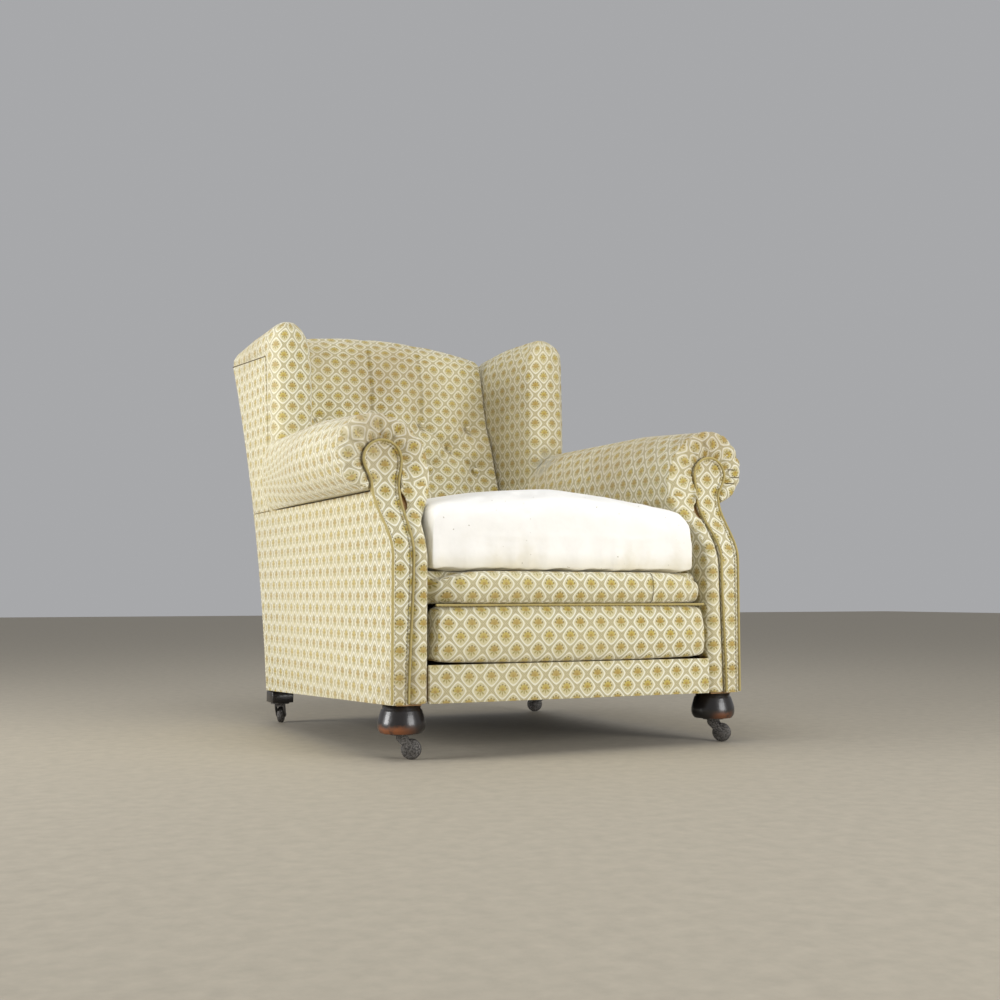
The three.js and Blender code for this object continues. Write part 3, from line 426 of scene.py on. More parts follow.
def brocade():
    """White ogee cells on a beige ground, a gold flower in each, worn and marked, with painted shade on the right arm
    and wing and painted light on the left side.
    """
    cover = Surface("brocade")
    across, up = cover.cloth()
    right, high, nearer = half_drop(across, up)
    wide, tall = right / (REPEAT_ACROSS / 2), high.math("ABSOLUTE") / (REPEAT_UP / 2)
    ogee = wide.math("POWER", OGEE_POWER) + tall.math("POWER", OGEE_POWER)
    ogee = ogee.math("POWER", 1 / OGEE_POWER)
    thread = (across * (math.tau / WARP_PITCH)).math("SINE") * (up * (math.tau / WEFT_PITCH)).math("SINE")
    fray = (cover.noise(900, 2) - 0.5) * 0.0018
    flower, heart, leaf, tips = [fan(right, high, blades) + fray for blades in (FLOWER, HEART, LEAF, TIPS)]
    band = (ogee - OGEE_BAND).math("ABSOLUTE") + fray * 22
    outline = ((1 - (wide + tall)) - 0.075).math("ABSOLUTE") + fray * 14

    cloth = cover.noise(45, 3).mix(colour("c4b992"), colour("d0c6a0"))
    cloth = ogee.under(OGEE_INSIDE, 0.04).mix(cloth, colour("d3c9a0"))
    cloth = band.under(0.07, 0.03).mix(cloth, colour("f0edd9"))
    cloth = (outline.under(0.035, 0.02) * 0.65).mix(cloth, colour("8f8868"))
    gold = nearer.mix(colour("96733a"), colour("b29b40"))
    gold = cover.noise(160, 2).mix(gold, colour("cbb65a"))
    for shape, dye in ((leaf, colour("9a8f4a")), (flower, gold), (heart, colour("a98a3c")), (tips, colour("75693a"))):
        cloth = shape.under(0.0, BLADE_EDGE).mix(cloth, dye)
    cloth = (thread * 0.5 + 0.5).mix(cloth, cloth.darker(0.92))
    cover.set(Base_Color=soiled_shaded_and_lit(cover, cloth), Roughness=0.8, Sheen_Weight=0.25, Sheen_Roughness=0.5)
    relief = band.under(0.1, 0.05) + flower.under(0.0, 0.001) + thread * 0.25
    return cover.bump(relief, 0.0006, 0.6).material


def calico():
    """White cotton, yellowed in patches towards its lower edge and darker along it with painted shade where it rolls
    under, with specks and soft folds.
    """
    cover = Surface("calico")
    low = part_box("seat_cushion")[0].z
    cloth = cover.noise(24, 4).mix(colour("faf9f5"), colour("f1eee7"))
    yellow = cover.noise(7, 4).under(0.42, 0.12) * cover.z.under(low + 0.05, 0.04)
    cloth = (yellow * 0.45).mix(cloth, colour("cdbf94"))
    # painted shade along the lower edge, where the case rolls under
    rolled_under_shade = cover.z.under(low + 0.022, 0.016) * 0.4
    cloth = rolled_under_shade.mix(cloth, colour("c9bf9f"))
    speck = cover.noise(140, 1).under(0.225, 0.015)
    cloth = (speck * 0.6).mix(cloth, colour("8a7a55"))
    weave = (cover.x * 5200).math("SINE") * (cover.z * 5200).math("SINE")
    folds = cover.noise(16, 3, 0.5) + weave * 0.004
    cover.set(Base_Color=cloth, Roughness=0.9, Sheen_Weight=0.15)
    return cover.bump(folds, 0.006, 0.55).material


def ebony():
    """Black polish, rubbed through to brown wood at the lower rims of the front feet."""
    wood = Surface("ebonised wood")
    left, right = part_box("front_left_foot")[0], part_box("front_right_foot")[0]
    rubbed = wood.spot(left.x + 0.006, left.y + 0.012, left.z + 0.006, 0.058)
    rubbed = rubbed + wood.spot(right.x + 0.04, right.y, left.z, 0.034) * 0.6
    rim = wood.z + (wood.noise(70, 4) - 0.5) * 0.02
    worn = rim.under(left.z + 0.012, 0.005) * rubbed.math("MINIMUM", 1.0) * wood.noise(60, 4).under(0.62, 0.14)
    polish = wood.noise(160, 3).mix(colour("141211"), colour("241f1d"))
    surface = worn.mix(polish, colour("7d4722"))
    wood.set(Base_Color=surface, Roughness=worn * 0.35 + 0.3, Coat_Weight=0.2)
    return wood.bump(wood.noise(200, 3), 0.0008, 0.3).material


def iron():
    metal = Surface("pitted iron")
    pits = metal.noise(420, 4)
    surface = pits.under(0.5, 0.14).mix(colour("6d6a66"), colour("2a2624"))
    return metal.set(Base_Color=surface, Roughness=0.6, Metallic=0.35).bump(pits, 0.0006, 0.8).material


def plain(name, text, roughness):
    """One colour, clouded with a darker one."""
    surface = Surface(name)
    light = colour(text)
    tone = surface.noise(40, 4).mix(light, tuple(part * 0.7 for part in light[:3]) + (1.0,))
    return surface.set(Base_Color=tone, Roughness=roughness).material


BROCADE, CALICO, EBONY, IRON = brocade(), calico(), ebony(), iron()
BEECH = plain("beech", "a8814f", 0.65)
JUTE = plain("jute webbing", "84704a", 0.95)
BLACK_CLOTH = plain("bottom cloth", "2b2724", 0.95)
CORD = plain("piping cord", "b9a86c", 0.85)
THREAD = plain("dark thread", "57492c", 0.9)


def coated(piece, material):
    """Gives the piece its one material."""
    piece.data.materials.clear()
    piece.data.materials.append(material)


def smoothed(piece):
    piece.data.polygons.foreach_set("use_smooth", [True] * len(piece.data.polygons))


def dressed(piece, node, material, body="chair"):
    """Finishes a piece that stands for a CAD node."""
    coated(piece, material)
    smoothed(piece)
    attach(piece, body)
    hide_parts(node)
    return piece


def trimmed(piece, material):
    """Finishes a cord or a row of stitches on the chair's covers."""
    coated(piece, material)
    smoothed(piece)
    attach(piece, "chair")
    return piece


# Inside back: button wells, folds between them and pleats worked into the pad, each a width and a depth
WELL, FOLD, PLEAT, FULLNESS = (0.014, 0.013), (0.0042, 0.007), (0.0032, 0.009), (0.012, 0.0055)
PLEAT_START, PLEAT_FADE = 0.01, 0.03
FULL_FROM, FULL_TO = BUTTON_ROWS[0] + 0.03, BUTTON_ROWS[0] + 0.09  # the cloth swells beside the upper pleats
PLEATS_X = (-0.5 * BUTTON_PITCH, 0.5 * BUTTON_PITCH)
BUTTONS = [
    (offset * BUTTON_PITCH, height)
    for row, height in enumerate(BUTTON_ROWS)
    for offset in ((-1, 0, 1) if row % 2 else (-1.5, -0.5, 0.5, 1.5))
]
FOLDS = [
    (upper, lower)
    for upper in BUTTONS
    for lower in BUTTONS
    if 0 < upper[1] - lower[1] < 1.5 * ROW_PITCH and abs(upper[0] - lower[0]) < BUTTON_PITCH
]


def back_cloth(points):
    """Cloth laid up the slope of the back."""
    return np.stack([points[:, 0], points[:, 2] * BACK_RAKE], 1)


def back_arc(points):
    """Cloth laid up the face of the back and over its top."""
    over = np.maximum(points[:, 2] - CREST, 0)
    return np.stack([points[:, 0], points[:, 2] * BACK_RAKE + over * 0.6], 1)


def groove(away, width, depth):
    return depth * np.exp(-((away / width) ** 2))


def tufting(points, normals):
    """Pulls the face of the back in at the buttons, the folds and the pleats."""
    x, z = points[:, 0], points[:, 2]
    depth = np.zeros(len(points))
    for bx, bz in BUTTONS:
        depth = np.maximum(depth, groove(np.hypot(x - bx, z - bz), *WELL))
    for (ax, az), (bx, bz) in FOLDS:
        run = np.array([bx - ax, bz - az])
        share = np.clip(((x - ax) * run[0] + (z - az) * run[1]) / (run @ run), 0, 1)
        away = np.hypot(x - ax - share * run[0], z - az - share * run[1])
        depth = np.maximum(depth, groove(away, *FOLD))
    upper = smoothstep(z, BUTTON_ROWS[0], BUTTON_ROWS[0] + PLEAT_START)
    upper = upper * (1 - smoothstep(z, PLEAT_TOP - PLEAT_FADE, PLEAT_TOP))
    lower = 1 - smoothstep(z, BUTTON_ROWS[-1] - PLEAT_START, BUTTON_ROWS[-1])
    for pleat in PLEATS_X:
        depth = np.maximum(depth, groove(x - pleat, *PLEAT) * np.maximum(upper, lower * 0.6))
    for pleat in PLEATS_X:
        depth = depth - groove(x - pleat, *FULLNESS) * smoothstep(z, FULL_FROM, FULL_TO)
    front = smoothstep(-normals[:, 1], 0.1, 0.5)
    return np.stack([np.zeros_like(depth), depth * front, np.zeros_like(depth)], 1)


inside_back = moved(softened("inside_back", "inside_back_cover", 0.0036, 5), tufting)
lay_cloth(inside_back, [(everywhere, back_arc)])
dressed(inside_back, "inside_back", BROCADE)

# Arms: the cover runs up the inside, over the roll, and is gathered round the front to the facing
GATHERS, GATHER_DEPTH = 11, 0.0065
GATHER_RADIUS = 0.072  # where the gathered cloth keeps its full length
RIM_WIDTH, RIM_FADE = 0.008, (0.062, 0.095)  # the gathers' reach about the facing's head
GATHER_FROM, GATHER_TO = FRONT + ARM_FRONT + 0.01, FRONT + ARM_FRONT + 0.055  # and back along the roll
NARROW_FROM, NARROW_TO, NARROWING = FRONT + 0.28, FRONT + 0.71, 0.6
HOLLOW_X, HOLLOW_Y, HOLLOW_Z = 0.311, FRONT + 0.067, 0.447  # a pit that the meshing leaves in the strip
HOLLOW_RADIUS, HOLLOW_ROUNDS = 0.02, 60


def arm_wrap(side):
    """Cloth laid up the inside of the arm and round its roll."""

    def rule(points):
        x, z = points[:, 0] * side - SCROLL_X, points[:, 2]
        inner = ROLL_INSIDE * (math.pi - np.arctan2(np.maximum(z - ROLL_SPRING, 0), x))
        outer = SCROLL_RADIUS * (math.pi / 2 - np.arctan2(z - SCROLL_Z, x))
        inside = np.minimum(z, ROLL_SPRING) + inner
        outside = ROLL_SPRING + ROLL_INSIDE * math.pi / 2 + outer
        return np.stack([points[:, 1] * side, np.where(x < 0, inside, outside)], 1)

    return rule


def about_head(points, side):
    """Each point's angle about the facing's head, from straight outwards, and its distance."""
    out, up = points[:, 0] * side - HEAD_X, points[:, 2] - HEAD_Z
    return np.arctan2(up, out), np.hypot(up, out)


def arm_gather(side):
    """Cloth drawn in from the roll towards the facing's head."""

    def rule(points):
        turn, away = about_head(points, side)
        turn = np.where(turn < -math.pi / 2, turn + math.tau, turn)
        return np.stack([away * side, ROLL_SPRING + GATHER_RADIUS * (math.pi - turn)], 1)

    return rule


def gathers(side):
    """Uneven gathers about the facing's head."""

    def shift(points, normals):
        turn, away = about_head(points, side)
        rim = smoothstep(away, HEAD_RADIUS, HEAD_RADIUS + RIM_WIDTH) * (1 - smoothstep(away, *RIM_FADE))
        near = 1 - smoothstep(points[:, 1], GATHER_FROM, GATHER_TO)
        arch = smoothstep(points[:, 2], HEAD_Z - 0.035, HEAD_Z)
        wave = np.abs(np.sin(turn * GATHERS + 0.7 * np.sin(3 * turn))) ** 0.4
        depth = GATHER_DEPTH * (1 - wave) * np.maximum(rim, 0.55 * near) * near * arch
        return -normals * depth[:, None]

    return shift


def drawn_to_wing(side):
    """The roll narrows towards the wing."""

    def shift(points, normals):
        out = np.maximum(points[:, 0] * side - SCROLL_X, 0)
        taken = NARROWING * out * smoothstep(points[:, 1], NARROW_FROM, NARROW_TO)
        return np.stack([-side * taken, np.zeros_like(taken), np.zeros_like(taken)], 1)

    return shift


def arm_front(centres, facings):
    return (facings[:, 1] < -0.55) & (centres[:, 1] < FRONT + 0.15)


def scroll_front(centres, facings):
    return arm_front(centres, facings) & (centres[:, 2] >= SCROLL_FOOT)


def strip_front(centres, facings):
    return arm_front(centres, facings) & (centres[:, 2] < SCROLL_FOOT)


for word, side in SIDES.items():
    arm = softened(f"{word}_arm", f"{word}_arm_cover", 0.0036, 4)
    healed(arm, (side * HOLLOW_X, HOLLOW_Y, HOLLOW_Z), HOLLOW_RADIUS, HOLLOW_ROUNDS)
    moved(arm, gathers(side))
    moved(arm, drawn_to_wing(side))
    lay_cloth(arm, [(everywhere, arm_wrap(side)), (scroll_front, arm_gather(side)), (strip_front, FACE_ON)])
    dressed(arm, f"{word}_arm", BROCADE)

# Wings: the cover runs round the front edge
WING_CLOSING = (0.82, 0.87)  # heights between which the wing's top closes


def wing_wrap(side):
    """Cloth laid round the wing's front edge and over its top."""

    def rule(points):
        x, y, z = points[:, 0] * side - WING_X, points[:, 1] - FRONT - WING_Y, points[:, 2]
        turn = np.arctan2(-np.minimum(y, 0), -x)
        around = np.where(y < 0, WING_RADIUS * turn, np.where(x < 0, -y, WING_RADIUS * math.pi + y))
        inset = np.maximum(WING_RADIUS - np.abs(x), 0) * smoothstep(z, *WING_CLOSING)
        return np.stack([around * -side, z + 0.8 * inset * (y >= 0)], 1)

    return rule


for word, side in SIDES.items():
    wing = softened(f"{word}_wing", f"{word}_wing_cover", 0.0045, 3)
    lay_cloth(wing, [(everywhere, wing_wrap(side))])
    dressed(wing, f"{word}_wing", BROCADE)

# Seat: border and lip over the springs
LIP_DEPTH = (FRONT + 0.02, FRONT + 0.05)  # behind it the deck is left as it is
LIP_END_FROM, LIP_END_RUN = 0.17, 0.12  # where the lip starts to close, and over what length
LIP_HALF = 0.02  # from the deck's underside to the middle of the lip's end
LIP_CLOSING, LIP_SETBACK = 0.62, 0.012


def lip_ends(points, normals):
    """The lip's roll closes to a rounded end at each arm, more from above than from below."""
    x, y, z = points.T
    near = 1 - smoothstep(y, *LIP_DEPTH)
    end = np.clip((np.abs(x) - LIP_END_FROM) / LIP_END_RUN, 0, 1)
    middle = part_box("seat_deck")[0].z + LIP_HALF
    shut = LIP_CLOSING * end**2.2 * near * np.where(z > middle, 1, 0.25)
    return np.stack([np.zeros_like(x), LIP_SETBACK * end**4 * near, (middle - z) * shut], 1)


border = softened("front_border", "front_border_cover", 0.004, 6)
lay_cloth(border, [(everywhere, FACE_ON), (SIDEWAYS, SIDE_ON)])
dressed(border, "front_border", BROCADE)
deck = moved(softened("seat_deck", "seat_deck_cover", 0.005, 4), lip_ends)
lay_cloth(deck, [(everywhere, FACE_ON), (LEVEL, FROM_ABOVE)])
dressed(deck, "seat_deck", BROCADE)

# The feather cushion in its calico case
CASE_DRAW, CASE_SWELL, CASE_PRESSURE = 0.003, 0.006, 2.0
FRONT_SQUARE, END_SQUARE = (0.06, 2.1), (0.055, 1.9)  # how far in an edge is squared, and how sharply
END_FADE = (0.2, 0.45)  # depths over which the ends' squaring stops
SETTLE, SETTLE_RISE = 0.7, (0.02, 0.05)
CROWN, CROWN_MIDDLE, CROWN_HALF, CROWN_RISE = 0.012, 0.3, 0.33, (0.08, 0.12)
CREASE_DEPTH, CREASE_RISE, SAG_DEPTH = 0.0013, (0.02, 0.085), 0.0022


def drawn_in(points, normals):
    """Starts the cushion a little small, so that it swells into its place."""
    return -normals * CASE_DRAW


def squared(inset, reach, power):
    """How far a rounded edge moves outwards at an inset from the face."""
    share = np.clip(inset / reach, 0, 1)
    return np.where(inset < reach, reach * (share**power - share), 0)


def boxed(points, normals):
    """Squares the case's front and ends, lowers its edges on to the seat and crowns its top."""
    low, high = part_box("seat_cushion")
    x, y, z = points.T
    middle, half = (low.x + high.x) / 2, (high.x - low.x) / 2
    ahead, aside, rest = y - low.y, half - np.abs(x - middle), z - low.z
    forward = squared(ahead, *FRONT_SQUARE)
    outward = squared(aside, *END_SQUARE) * (1 - smoothstep(ahead, *END_FADE))
    settle = -SETTLE * rest * (1 - smoothstep(rest, *SETTLE_RISE))
    bell = np.clip(1 - ((x - middle) / half) ** 2, 0, 1)
    bell = bell * np.clip(1 - ((ahead - CROWN_MIDDLE) / CROWN_HALF) ** 2, 0, 1)
    crown = CROWN * bell * smoothstep(rest, *CROWN_RISE)
    return np.stack([-np.sign(x - middle) * outward, forward, settle + crown], 1)


def slack(points, normals):
    """Soft upright creases along the lower edge of the front and the ends, in waves that drift."""
    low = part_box("seat_cushion")[0].z
    x, y, z = points.T
    run = x + 0.6 * y
    wave = np.sin(run * 61 + 1.3 * np.sin(run * 23)) + 0.6 * np.sin(run * 143 + 2 * np.sin(run * 31))
    from_low, to_high = CREASE_RISE
    deep = (1 - smoothstep(z, low + from_low, low + to_high)) * smoothstep(-normals[:, 2], -0.75, 0.1)
    sag = SAG_DEPTH * np.sin(run * 19 + 0.7) * smoothstep(normals[:, 2], 0.3, 0.8)
    return normals * (CREASE_DEPTH * wave * deep + sag)[:, None]


cushion = moved(softened("seat_cushion", "seat_cushion_case", 0.006, 2), drawn_in)
inflated(cushion, CASE_PRESSURE, CASE_SWELL)
moved(cushion, boxed)
finer = cushion.modifiers.new("finer", "SUBSURF")
finer.levels = finer.render_levels = 1
applied(cushion)
moved(cushion, slack)
dressed(cushion, "seat_cushion", CALICO)


# Flat covers of the frame, the facings and the buttons
def panel(node, regions):
    piece = bevelled(node_copy(node, f"{node}_cloth"), 0.0012, 2, crease=40)
    lay_cloth(piece, regions)
    return dressed(piece, node, BROCADE)


for word in SIDES:
    panel(f"{word}_outside_arm", [(everywhere, SIDE_ON), (FORWARDS, FACE_ON)])
    panel(f"{word}_outside_wing", [(everywhere, SIDE_ON), (FORWARDS, FACE_ON)])
    panel(f"{word}_arm_facing", [(everywhere, FACE_ON), (SIDEWAYS, SIDE_ON)])
panel("front_rail_cover", [(everywhere, FACE_ON)])
panel("outside_back", [(everywhere, back_cloth)])
for node in sorted(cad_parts):
    if node.startswith("back_button"):
        button = softened(node, f"{node}_cover", 0.0012, 4)
        lay_cloth(button, [(everywhere, FACE_ON)])
        dressed(button, node, BROCADE)

# Piping and seams: cords along the edges of the covers, and rows of stitches beside them
PIPING, LIP_PIPING, SEAM_THREAD, MEND_THREAD = 0.0023, 0.0026, 0.0011, 0.0008  # radii
FACING_STITCH = {"Pitch": 0.0062, "Length": 0.0034, "Radius": 0.0004}
LIP_STITCH = {"Pitch": 0.007, "Length": 0.004, "Radius": 0.0004}
JOIN_STITCH = {"Pitch": 0.0026, "Length": 0.0022, "Radius": 0.00055}
FACING_LOW, PIPING_LOW = 0.096, 0.098
LEAN_LOW, LEAN_HIGH = 0.352, 0.478  # heights between which the facing leans back to the scroll
FACING_INNER = ((FACING_LOW, 0.327), (LEAN_LOW, 0.319), (LEAN_HIGH, 0.317), (HEAD_Z, HEAD_X - HEAD_RADIUS))
FACING_OUTER = ((FACING_LOW, 0.360), (LEAN_LOW, 0.360), (LEAN_HIGH, 0.370), (HEAD_Z, HEAD_X + HEAD_RADIUS))
JOIN_X, JOIN_MIDDLE, JOIN_HALF = 0.154, 0.296, 0.029  # the join in the lip's cover
JOIN_DEPTH, JOIN_BULGE = 0.0027, 0.0203
MENDS = ((0.405, 0.535), (0.400, 0.507), (0.412, 0.520))  # across and height, on the right scroll
MEND_HALF, MEND_DEPTHS = 0.010, (0.0775, 0.0765, 0.0785)


def across_at(z, stops):
    """The facing's edge at a height, eased between its stops."""
    heights, places = zip(*stops)
    step = min(int(np.searchsorted(heights, z, side="right")), len(stops) - 1)
    share = smoothstep(z, heights[step - 1], heights[step])
    return places[step - 1] + (places[step] - places[step - 1]) * share


def facing_path(side, inset, proud):
    """The facing's edge from the inner foot over the head to the outer foot."""
    heights = np.linspace(PIPING_LOW, HEAD_Z, 48)
    turns = np.linspace(math.pi, 0, 25)[1:-1]
    reach = HEAD_RADIUS - inset
    inner = [(across_at(z, FACING_INNER) + inset, z) for z in heights]
    arch = [(HEAD_X + reach * math.cos(turn), HEAD_Z + reach * math.sin(turn)) for turn in turns]
    outer = [(across_at(z, FACING_OUTER) - inset, z) for z in heights[::-1]]
    return [
        (side * x, FRONT + ARM_FRONT * float(smoothstep(z, LEAN_LOW, LEAN_HIGH)) - proud, z)
        for x, z in inner + arch + outer
    ]


def top_edge(node):
    """The ends of a panel's outer top edge, front and back."""
    points = points_of(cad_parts[node].data)
    ends = []
    for sign in (-1, 1):
        near = points[np.argsort(-sign * points[:, 1] - 3 * points[:, 2])[:4]]
        ends.append(near[np.argmax(np.abs(near[:, 0]))])
    return ends


def curve_along(name, points):
    """An object of a curve through the points, which holds the place of a cord or a row of stitches."""
    curve = bpy.data.curves.new("line", "CURVE")
    curve.dimensions = "3D"
    spline = curve.splines.new("POLY")
    spline.points.add(len(points) - 1)
    spline.points.foreach_set("co", [value for point in points for value in (*point, 1)])
    return new_object(f"{name}_line", curve)


def made_from(holder, name):
    """A plain piece from a curve's result, in place of the curve."""
    mesh = worked_mesh(holder)
    bpy.data.objects.remove(holder)
    return new_object(name, mesh)


def cord(name, points, radius, material=CORD):
    holder = curve_along(name, points)
    holder.data.bevel_depth = radius
    holder.data.bevel_resolution = 3
    holder.data.use_fill_caps = True
    return trimmed(made_from(holder, name), material)


def stitch_tree():
    """Lays short threads along a curve at an even pitch."""
    tree = bpy.data.node_groups.new("stitch row", "GeometryNodeTree")
    tree.interface.new_socket("Geometry", in_out="INPUT", socket_type="NodeSocketGeometry")
    for size in FACING_STITCH:
        tree.interface.new_socket(size, in_out="INPUT", socket_type="NodeSocketFloat")
    tree.interface.new_socket("Geometry", in_out="OUTPUT", socket_type="NodeSocketGeometry")

    def node(kind, settings, **sockets):
        return add_node(tree, kind, settings, sockets)

    def out(made, name):
        return Field(tree, made.outputs[name])

    given = node("NodeGroupInput", {})
    path, pitch, length, radius = [out(given, name) for name in ("Geometry", *FACING_STITCH)]
    spots = node("GeometryNodeCurveToPoints", {"mode": "LENGTH"}, Curve=path, Length=pitch)
    thread = node("GeometryNodeMeshCylinder", {}, Vertices=6, Radius=radius, Depth=length)
    row = node(
        "GeometryNodeInstanceOnPoints",
        {},
        Points=out(spots, "Points"),
        Instance=out(thread, "Mesh"),
        Rotation=out(spots, "Rotation"),
    )
    whole = node("GeometryNodeRealizeInstances", {}, Geometry=out(row, "Instances"))
    dyed = node("GeometryNodeSetMaterial", {}, Geometry=out(whole, "Geometry"), Material=THREAD)
    node("NodeGroupOutput", {}, Geometry=out(dyed, "Geometry"))
    return tree


STITCH_ROW = stitch_tree()


def stitches(name, points, sizes):
    """A row of thread stitches along a line, laid by Geometry Nodes."""
    holder = curve_along(name, points)
    row = holder.modifiers.new("stitches", "NODES")
    row.node_group = STITCH_ROW
    for socket in STITCH_ROW.interface.items_tree:
        if socket.name in sizes:
            row[socket.identifier] = sizes[socket.name]
    return trimmed(made_from(holder, name), THREAD)


for word, side in SIDES.items():
    cord(f"{word}_facing_piping", facing_path(side, 0.0012, 0.0008), PIPING)
    stitches(f"{word}_facing_stitches", facing_path(side, 0.0072, -0.0026), FACING_STITCH)
    cord(f"{word}_wing_seam", top_edge(f"{word}_outside_wing"), SEAM_THREAD, THREAD)

border_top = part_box("front_border")[1]
lip_half = border_top.x - 0.004
lip_seam = [(x, FRONT + 0.001, border_top.z - 0.0012) for x in np.linspace(-lip_half, lip_half, 24)]
cord("lip_piping", lip_seam, LIP_PIPING)
stitches("lip_stitches", [(x, y - 0.0028, z - 0.0016) for x, y, z in lip_seam], LIP_STITCH)

lip_join = [
    (JOIN_X, FRONT + JOIN_DEPTH - JOIN_BULGE * math.cos(turn) ** 0.8, JOIN_MIDDLE + JOIN_HALF * math.sin(turn))
    for turn in np.linspace(-1.3, 1.25, 16)
]
stitches("lip_join_stitches", lip_join, JOIN_STITCH)

for x, z in MENDS:
    mend = [(x + step * MEND_HALF, FRONT + depth, z) for step, depth in zip((-1, 0, 1), MEND_DEPTHS)]
    cord(f"right_scroll_mend_{round(z * 1000)}", mend, MEND_THREAD, THREAD)


# Feet and castors
def turned(name, profile, segments=64):
    """A closed turned piece about Z from (radius, height) pairs."""
    form = bmesh.new()
    turns = [math.tau * step / segments for step in range(segments)]
    rings = []
    for radius, height in profile:
        spread = turns if radius else turns[:1]
        rings.append([form.verts.new((radius * math.cos(turn), radius * math.sin(turn), height)) for turn in spread])
    for low, high in zip(rings, rings[1:]):
        for step in range(segments):
            after = (step + 1) % segments
            corners = (low[step % len(low)], low[after % len(low)], high[after % len(high)], high[step % len(high)])
            form.faces.new(list(dict.fromkeys(corners)))
    bmesh.ops.recalc_face_normals(form, faces=form.faces)
    return new_mesh(name, form)


def curve_profile(points, steps=6):
    """Rounds a profile of (radius, height) pairs by a smooth curve through them."""
    places = np.array(points)
    ends = np.vstack([2 * places[0] - places[1], places, 2 * places[-1] - places[-2]])
    curve = []
    for before, here, after, beyond in zip(ends, ends[1:], ends[2:], ends[3:]):
        bend = 2 * before - 5 * here + 4 * after - beyond
        twist = 3 * here - before - 3 * after + beyond
        for share in np.arange(steps) / steps:
            curve.append(0.5 * (2 * here + (after - before) * share + bend * share**2 + twist * share**3))
    return [tuple(point) for point in curve] + [points[-1]]


def bun_foot(corner):
    """A turned bun with a bead at its neck, from shares of the foot's radius and height."""
    low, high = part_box(f"{corner}_foot")
    height, radius = high.z - low.z, (high.y - low.y) / 2
    belly = ((0.87, 0), (0.975, 0.14), (1, 0.36), (0.94, 0.6), (0.85, 0.84))
    belly = curve_profile([(reach * radius, share) for reach, share in belly])
    bead = [(0.795 * radius, 0.88), (0.795 * radius, 1.0), (0, 1.0)]
    foot = turned(f"{corner}_bun", [(reach, share * height) for reach, share in [(0, 0)] + belly + bead])
    return shifted(foot, ((low.x + high.x) / 2, (low.y + high.y) / 2, low.z))


def block_foot(corner):
    return bevelled(node_copy(f"{corner}_foot", f"{corner}_block"), 0.002, 3)


def castor_wheel(node, turn):
    """A wheel with a rounded tread and a hub, its axle turned about the upright."""
    half, rim, hub_face = WHEEL_WIDTH / 2, WHEEL_RADIUS, WHEEL_WIDTH / 2 + 0.0004
    shoulder, flank = rim - 0.0045, rim - 0.001
    tread = [(shoulder, -half), (flank, -half * 0.72), (rim, 0), (flank, half * 0.72), (shoulder, half)]
    hub = [(0.0065, half), (0.006, hub_face), (0.0034, hub_face)]
    under = [(radius, -height) for radius, height in hub[::-1]]
    wheel = turned(f"{node}_iron", under + curve_profile(tread) + hub + under[:1])
    cos, sin = math.cos(turn), math.sin(turn)

    def laid(points, normals):
        x, y, z = points.T
        return np.stack([x * cos - z * sin, x * sin + z * cos, y], 1) - points

    low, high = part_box(node)
    return shifted(moved(wheel, laid), (low + high) / 2)


def castor(corner, turn):
    """The plate under the foot, the fork that swivels in it and the wheel that rolls in the fork."""
    for part, body in (("plate", "chair"), ("fork", f"{corner}_fork"), ("wheel", f"{corner}_wheel")):
        node = f"{corner}_castor_{part}"
        if part == "wheel":
            piece = castor_wheel(node, math.radians(turn))
        else:
            piece = bevelled(node_copy(node, f"{node}_iron"), 0.0006, 2)
        dressed(piece, node, IRON, body)


for corner, turn in CASTOR_TURNS.items():
    foot = bun_foot(corner) if corner.startswith("front") else block_foot(corner)
    dressed(foot, f"{corner}_foot", EBONY)
    castor(corner, turn)

# Under the seat
NOTCH = 0.082  # cut out round each foot
CLOTH_SAG, CLOTH_THICKNESS, CLOTH_CLEAR = 0.007, 0.001, 0.0008
BACK_DROP = 0.0245  # how much lower the back rail's underside lies


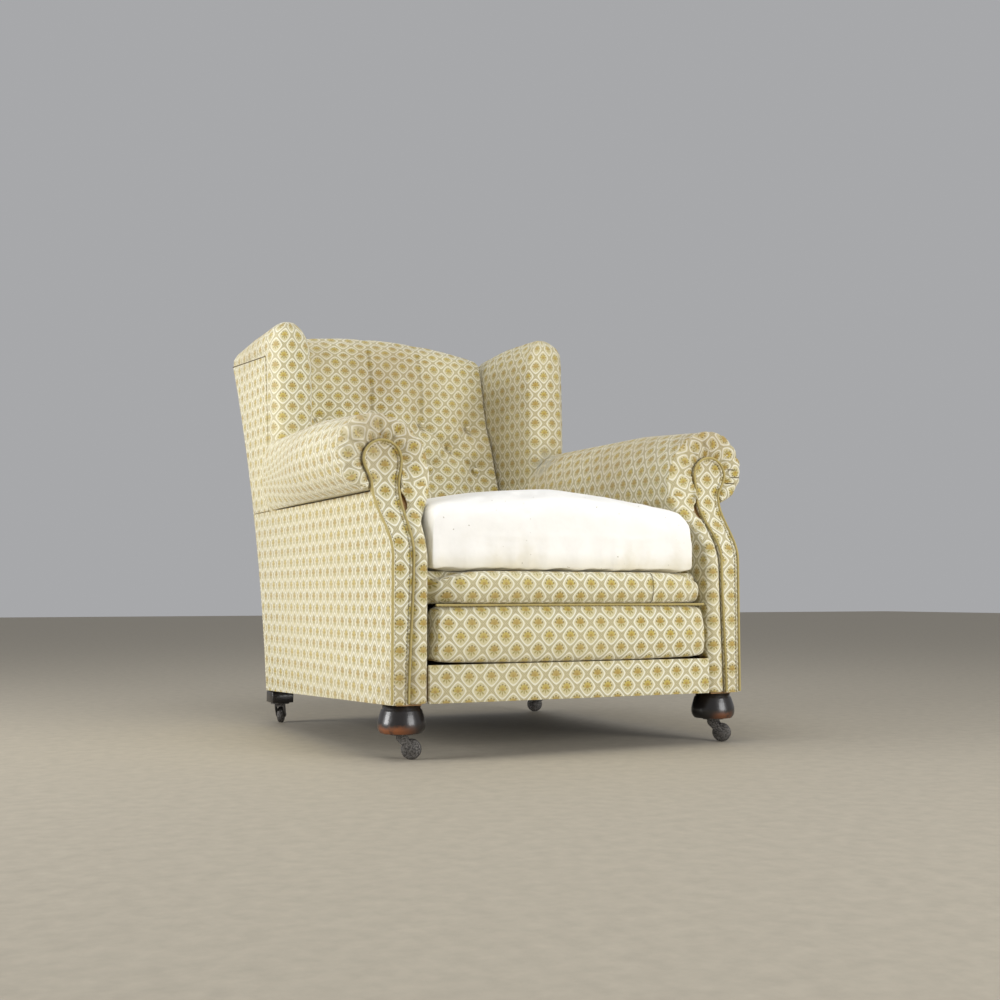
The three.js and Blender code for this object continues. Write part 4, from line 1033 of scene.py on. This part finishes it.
def bottom_cloth():
    """The black cloth tacked under the seat, cut out round the feet and sagging a little."""
    low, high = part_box("bottom_cloth")
    width, length = high.x - low.x, high.y - low.y
    columns = np.unique(np.r_[np.linspace(low.x, high.x, 49), low.x + NOTCH, high.x - NOTCH])
    rows = np.unique(np.r_[np.linspace(low.y, high.y, 53), low.y + NOTCH, high.y - NOTCH])
    form = bmesh.new()

    def place(x, y):
        across, along = (x - low.x) / width, (y - low.y) / length
        sag = CLOTH_SAG * (math.sin(math.pi * across) * math.sin(math.pi * along)) ** 0.7
        return x, y, high.z - BACK_DROP * along - CLOTH_CLEAR - sag

    def in_notch(x, y):
        return min(x - low.x, high.x - x) < NOTCH and min(y - low.y, high.y - y) < NOTCH

    grid = [[form.verts.new(place(x, y)) for x in columns] for y in rows]
    for j, (y0, y1) in enumerate(zip(rows, rows[1:])):
        for i, (x0, x1) in enumerate(zip(columns, columns[1:])):
            if not in_notch((x0 + x1) / 2, (y0 + y1) / 2):
                form.faces.new((grid[j][i], grid[j + 1][i], grid[j + 1][i + 1], grid[j][i + 1]))
    bmesh.ops.delete(form, geom=[vert for vert in form.verts if not vert.link_faces], context="VERTS")
    piece = new_mesh("bottom_cloth_sheet", form)
    thick = piece.modifiers.new("thick", "SOLIDIFY")
    thick.thickness, thick.offset = CLOTH_THICKNESS, 0
    applied(piece)
    dressed(piece, "bottom_cloth", BLACK_CLOTH)


bottom_cloth()

# The CAD nodes that are left showing: the timbers, and the webbing with its springs
for node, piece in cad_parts.items():
    if not piece.hide_render:
        material, slot = (JUTE, "jute") if "webbing" in node else (BEECH, "beech")
        coated(piece, material)


# Floor, light and camera
def floor(size):
    bpy.ops.mesh.primitive_plane_add(size=size)
    plane = bpy.context.object
    plane.name = "floor"
    plane.data.materials.append(plain("pale floor", "bdb4a2", 0.7))


def lamp(name, place, target, size, power):
    light = bpy.data.lights.new(name, "AREA")
    light.size, light.energy = size, power
    holder = new_object(name, light)
    holder.location = place
    aim = [end - start for start, end in zip(place, target)]
    across = math.hypot(aim[0], aim[1])
    holder.rotation_euler = (math.atan2(across, -aim[2]), 0, math.atan2(-aim[0], aim[1]))


floor(size=30)
lamp("key", place=(-3.3, 0.1, 0.85), target=(0, 0, 0.45), size=1.4, power=84)
lamp("fill", place=(1.3, -3.5, 0.9), target=(0, 0, 0.3), size=1.8, power=84)
lamp("top", place=(-0.4, -0.6, 3.2), target=(0, -0.2, 0.4), size=1.6, power=28)

scene = bpy.context.scene
scene.world = bpy.data.worlds.new("studio")
scene.world.use_nodes = True
sky = scene.world.node_tree.nodes["Background"]
sky.inputs["Color"].default_value = colour("e4e5e8")
sky.inputs["Strength"].default_value = 0.5
scene.view_settings.view_transform = "Standard"

EYE_X, EYE_AHEAD, EYE_HEIGHT = -1.1669, 2.0641, 0.2824  # fitted to the photograph, as are the angles and lens
EYE_TILT, EYE_HEADING = math.radians(94.19), math.radians(-26.10)
camera = bpy.data.cameras.new("camera")
camera.sensor_width = 36
camera.lens = 46.73
eye = new_object("camera", camera)
eye.location = (EYE_X, FRONT - EYE_AHEAD, EYE_HEIGHT)
eye.rotation_euler = (EYE_TILT, 0, EYE_HEADING)
scene.camera = eye
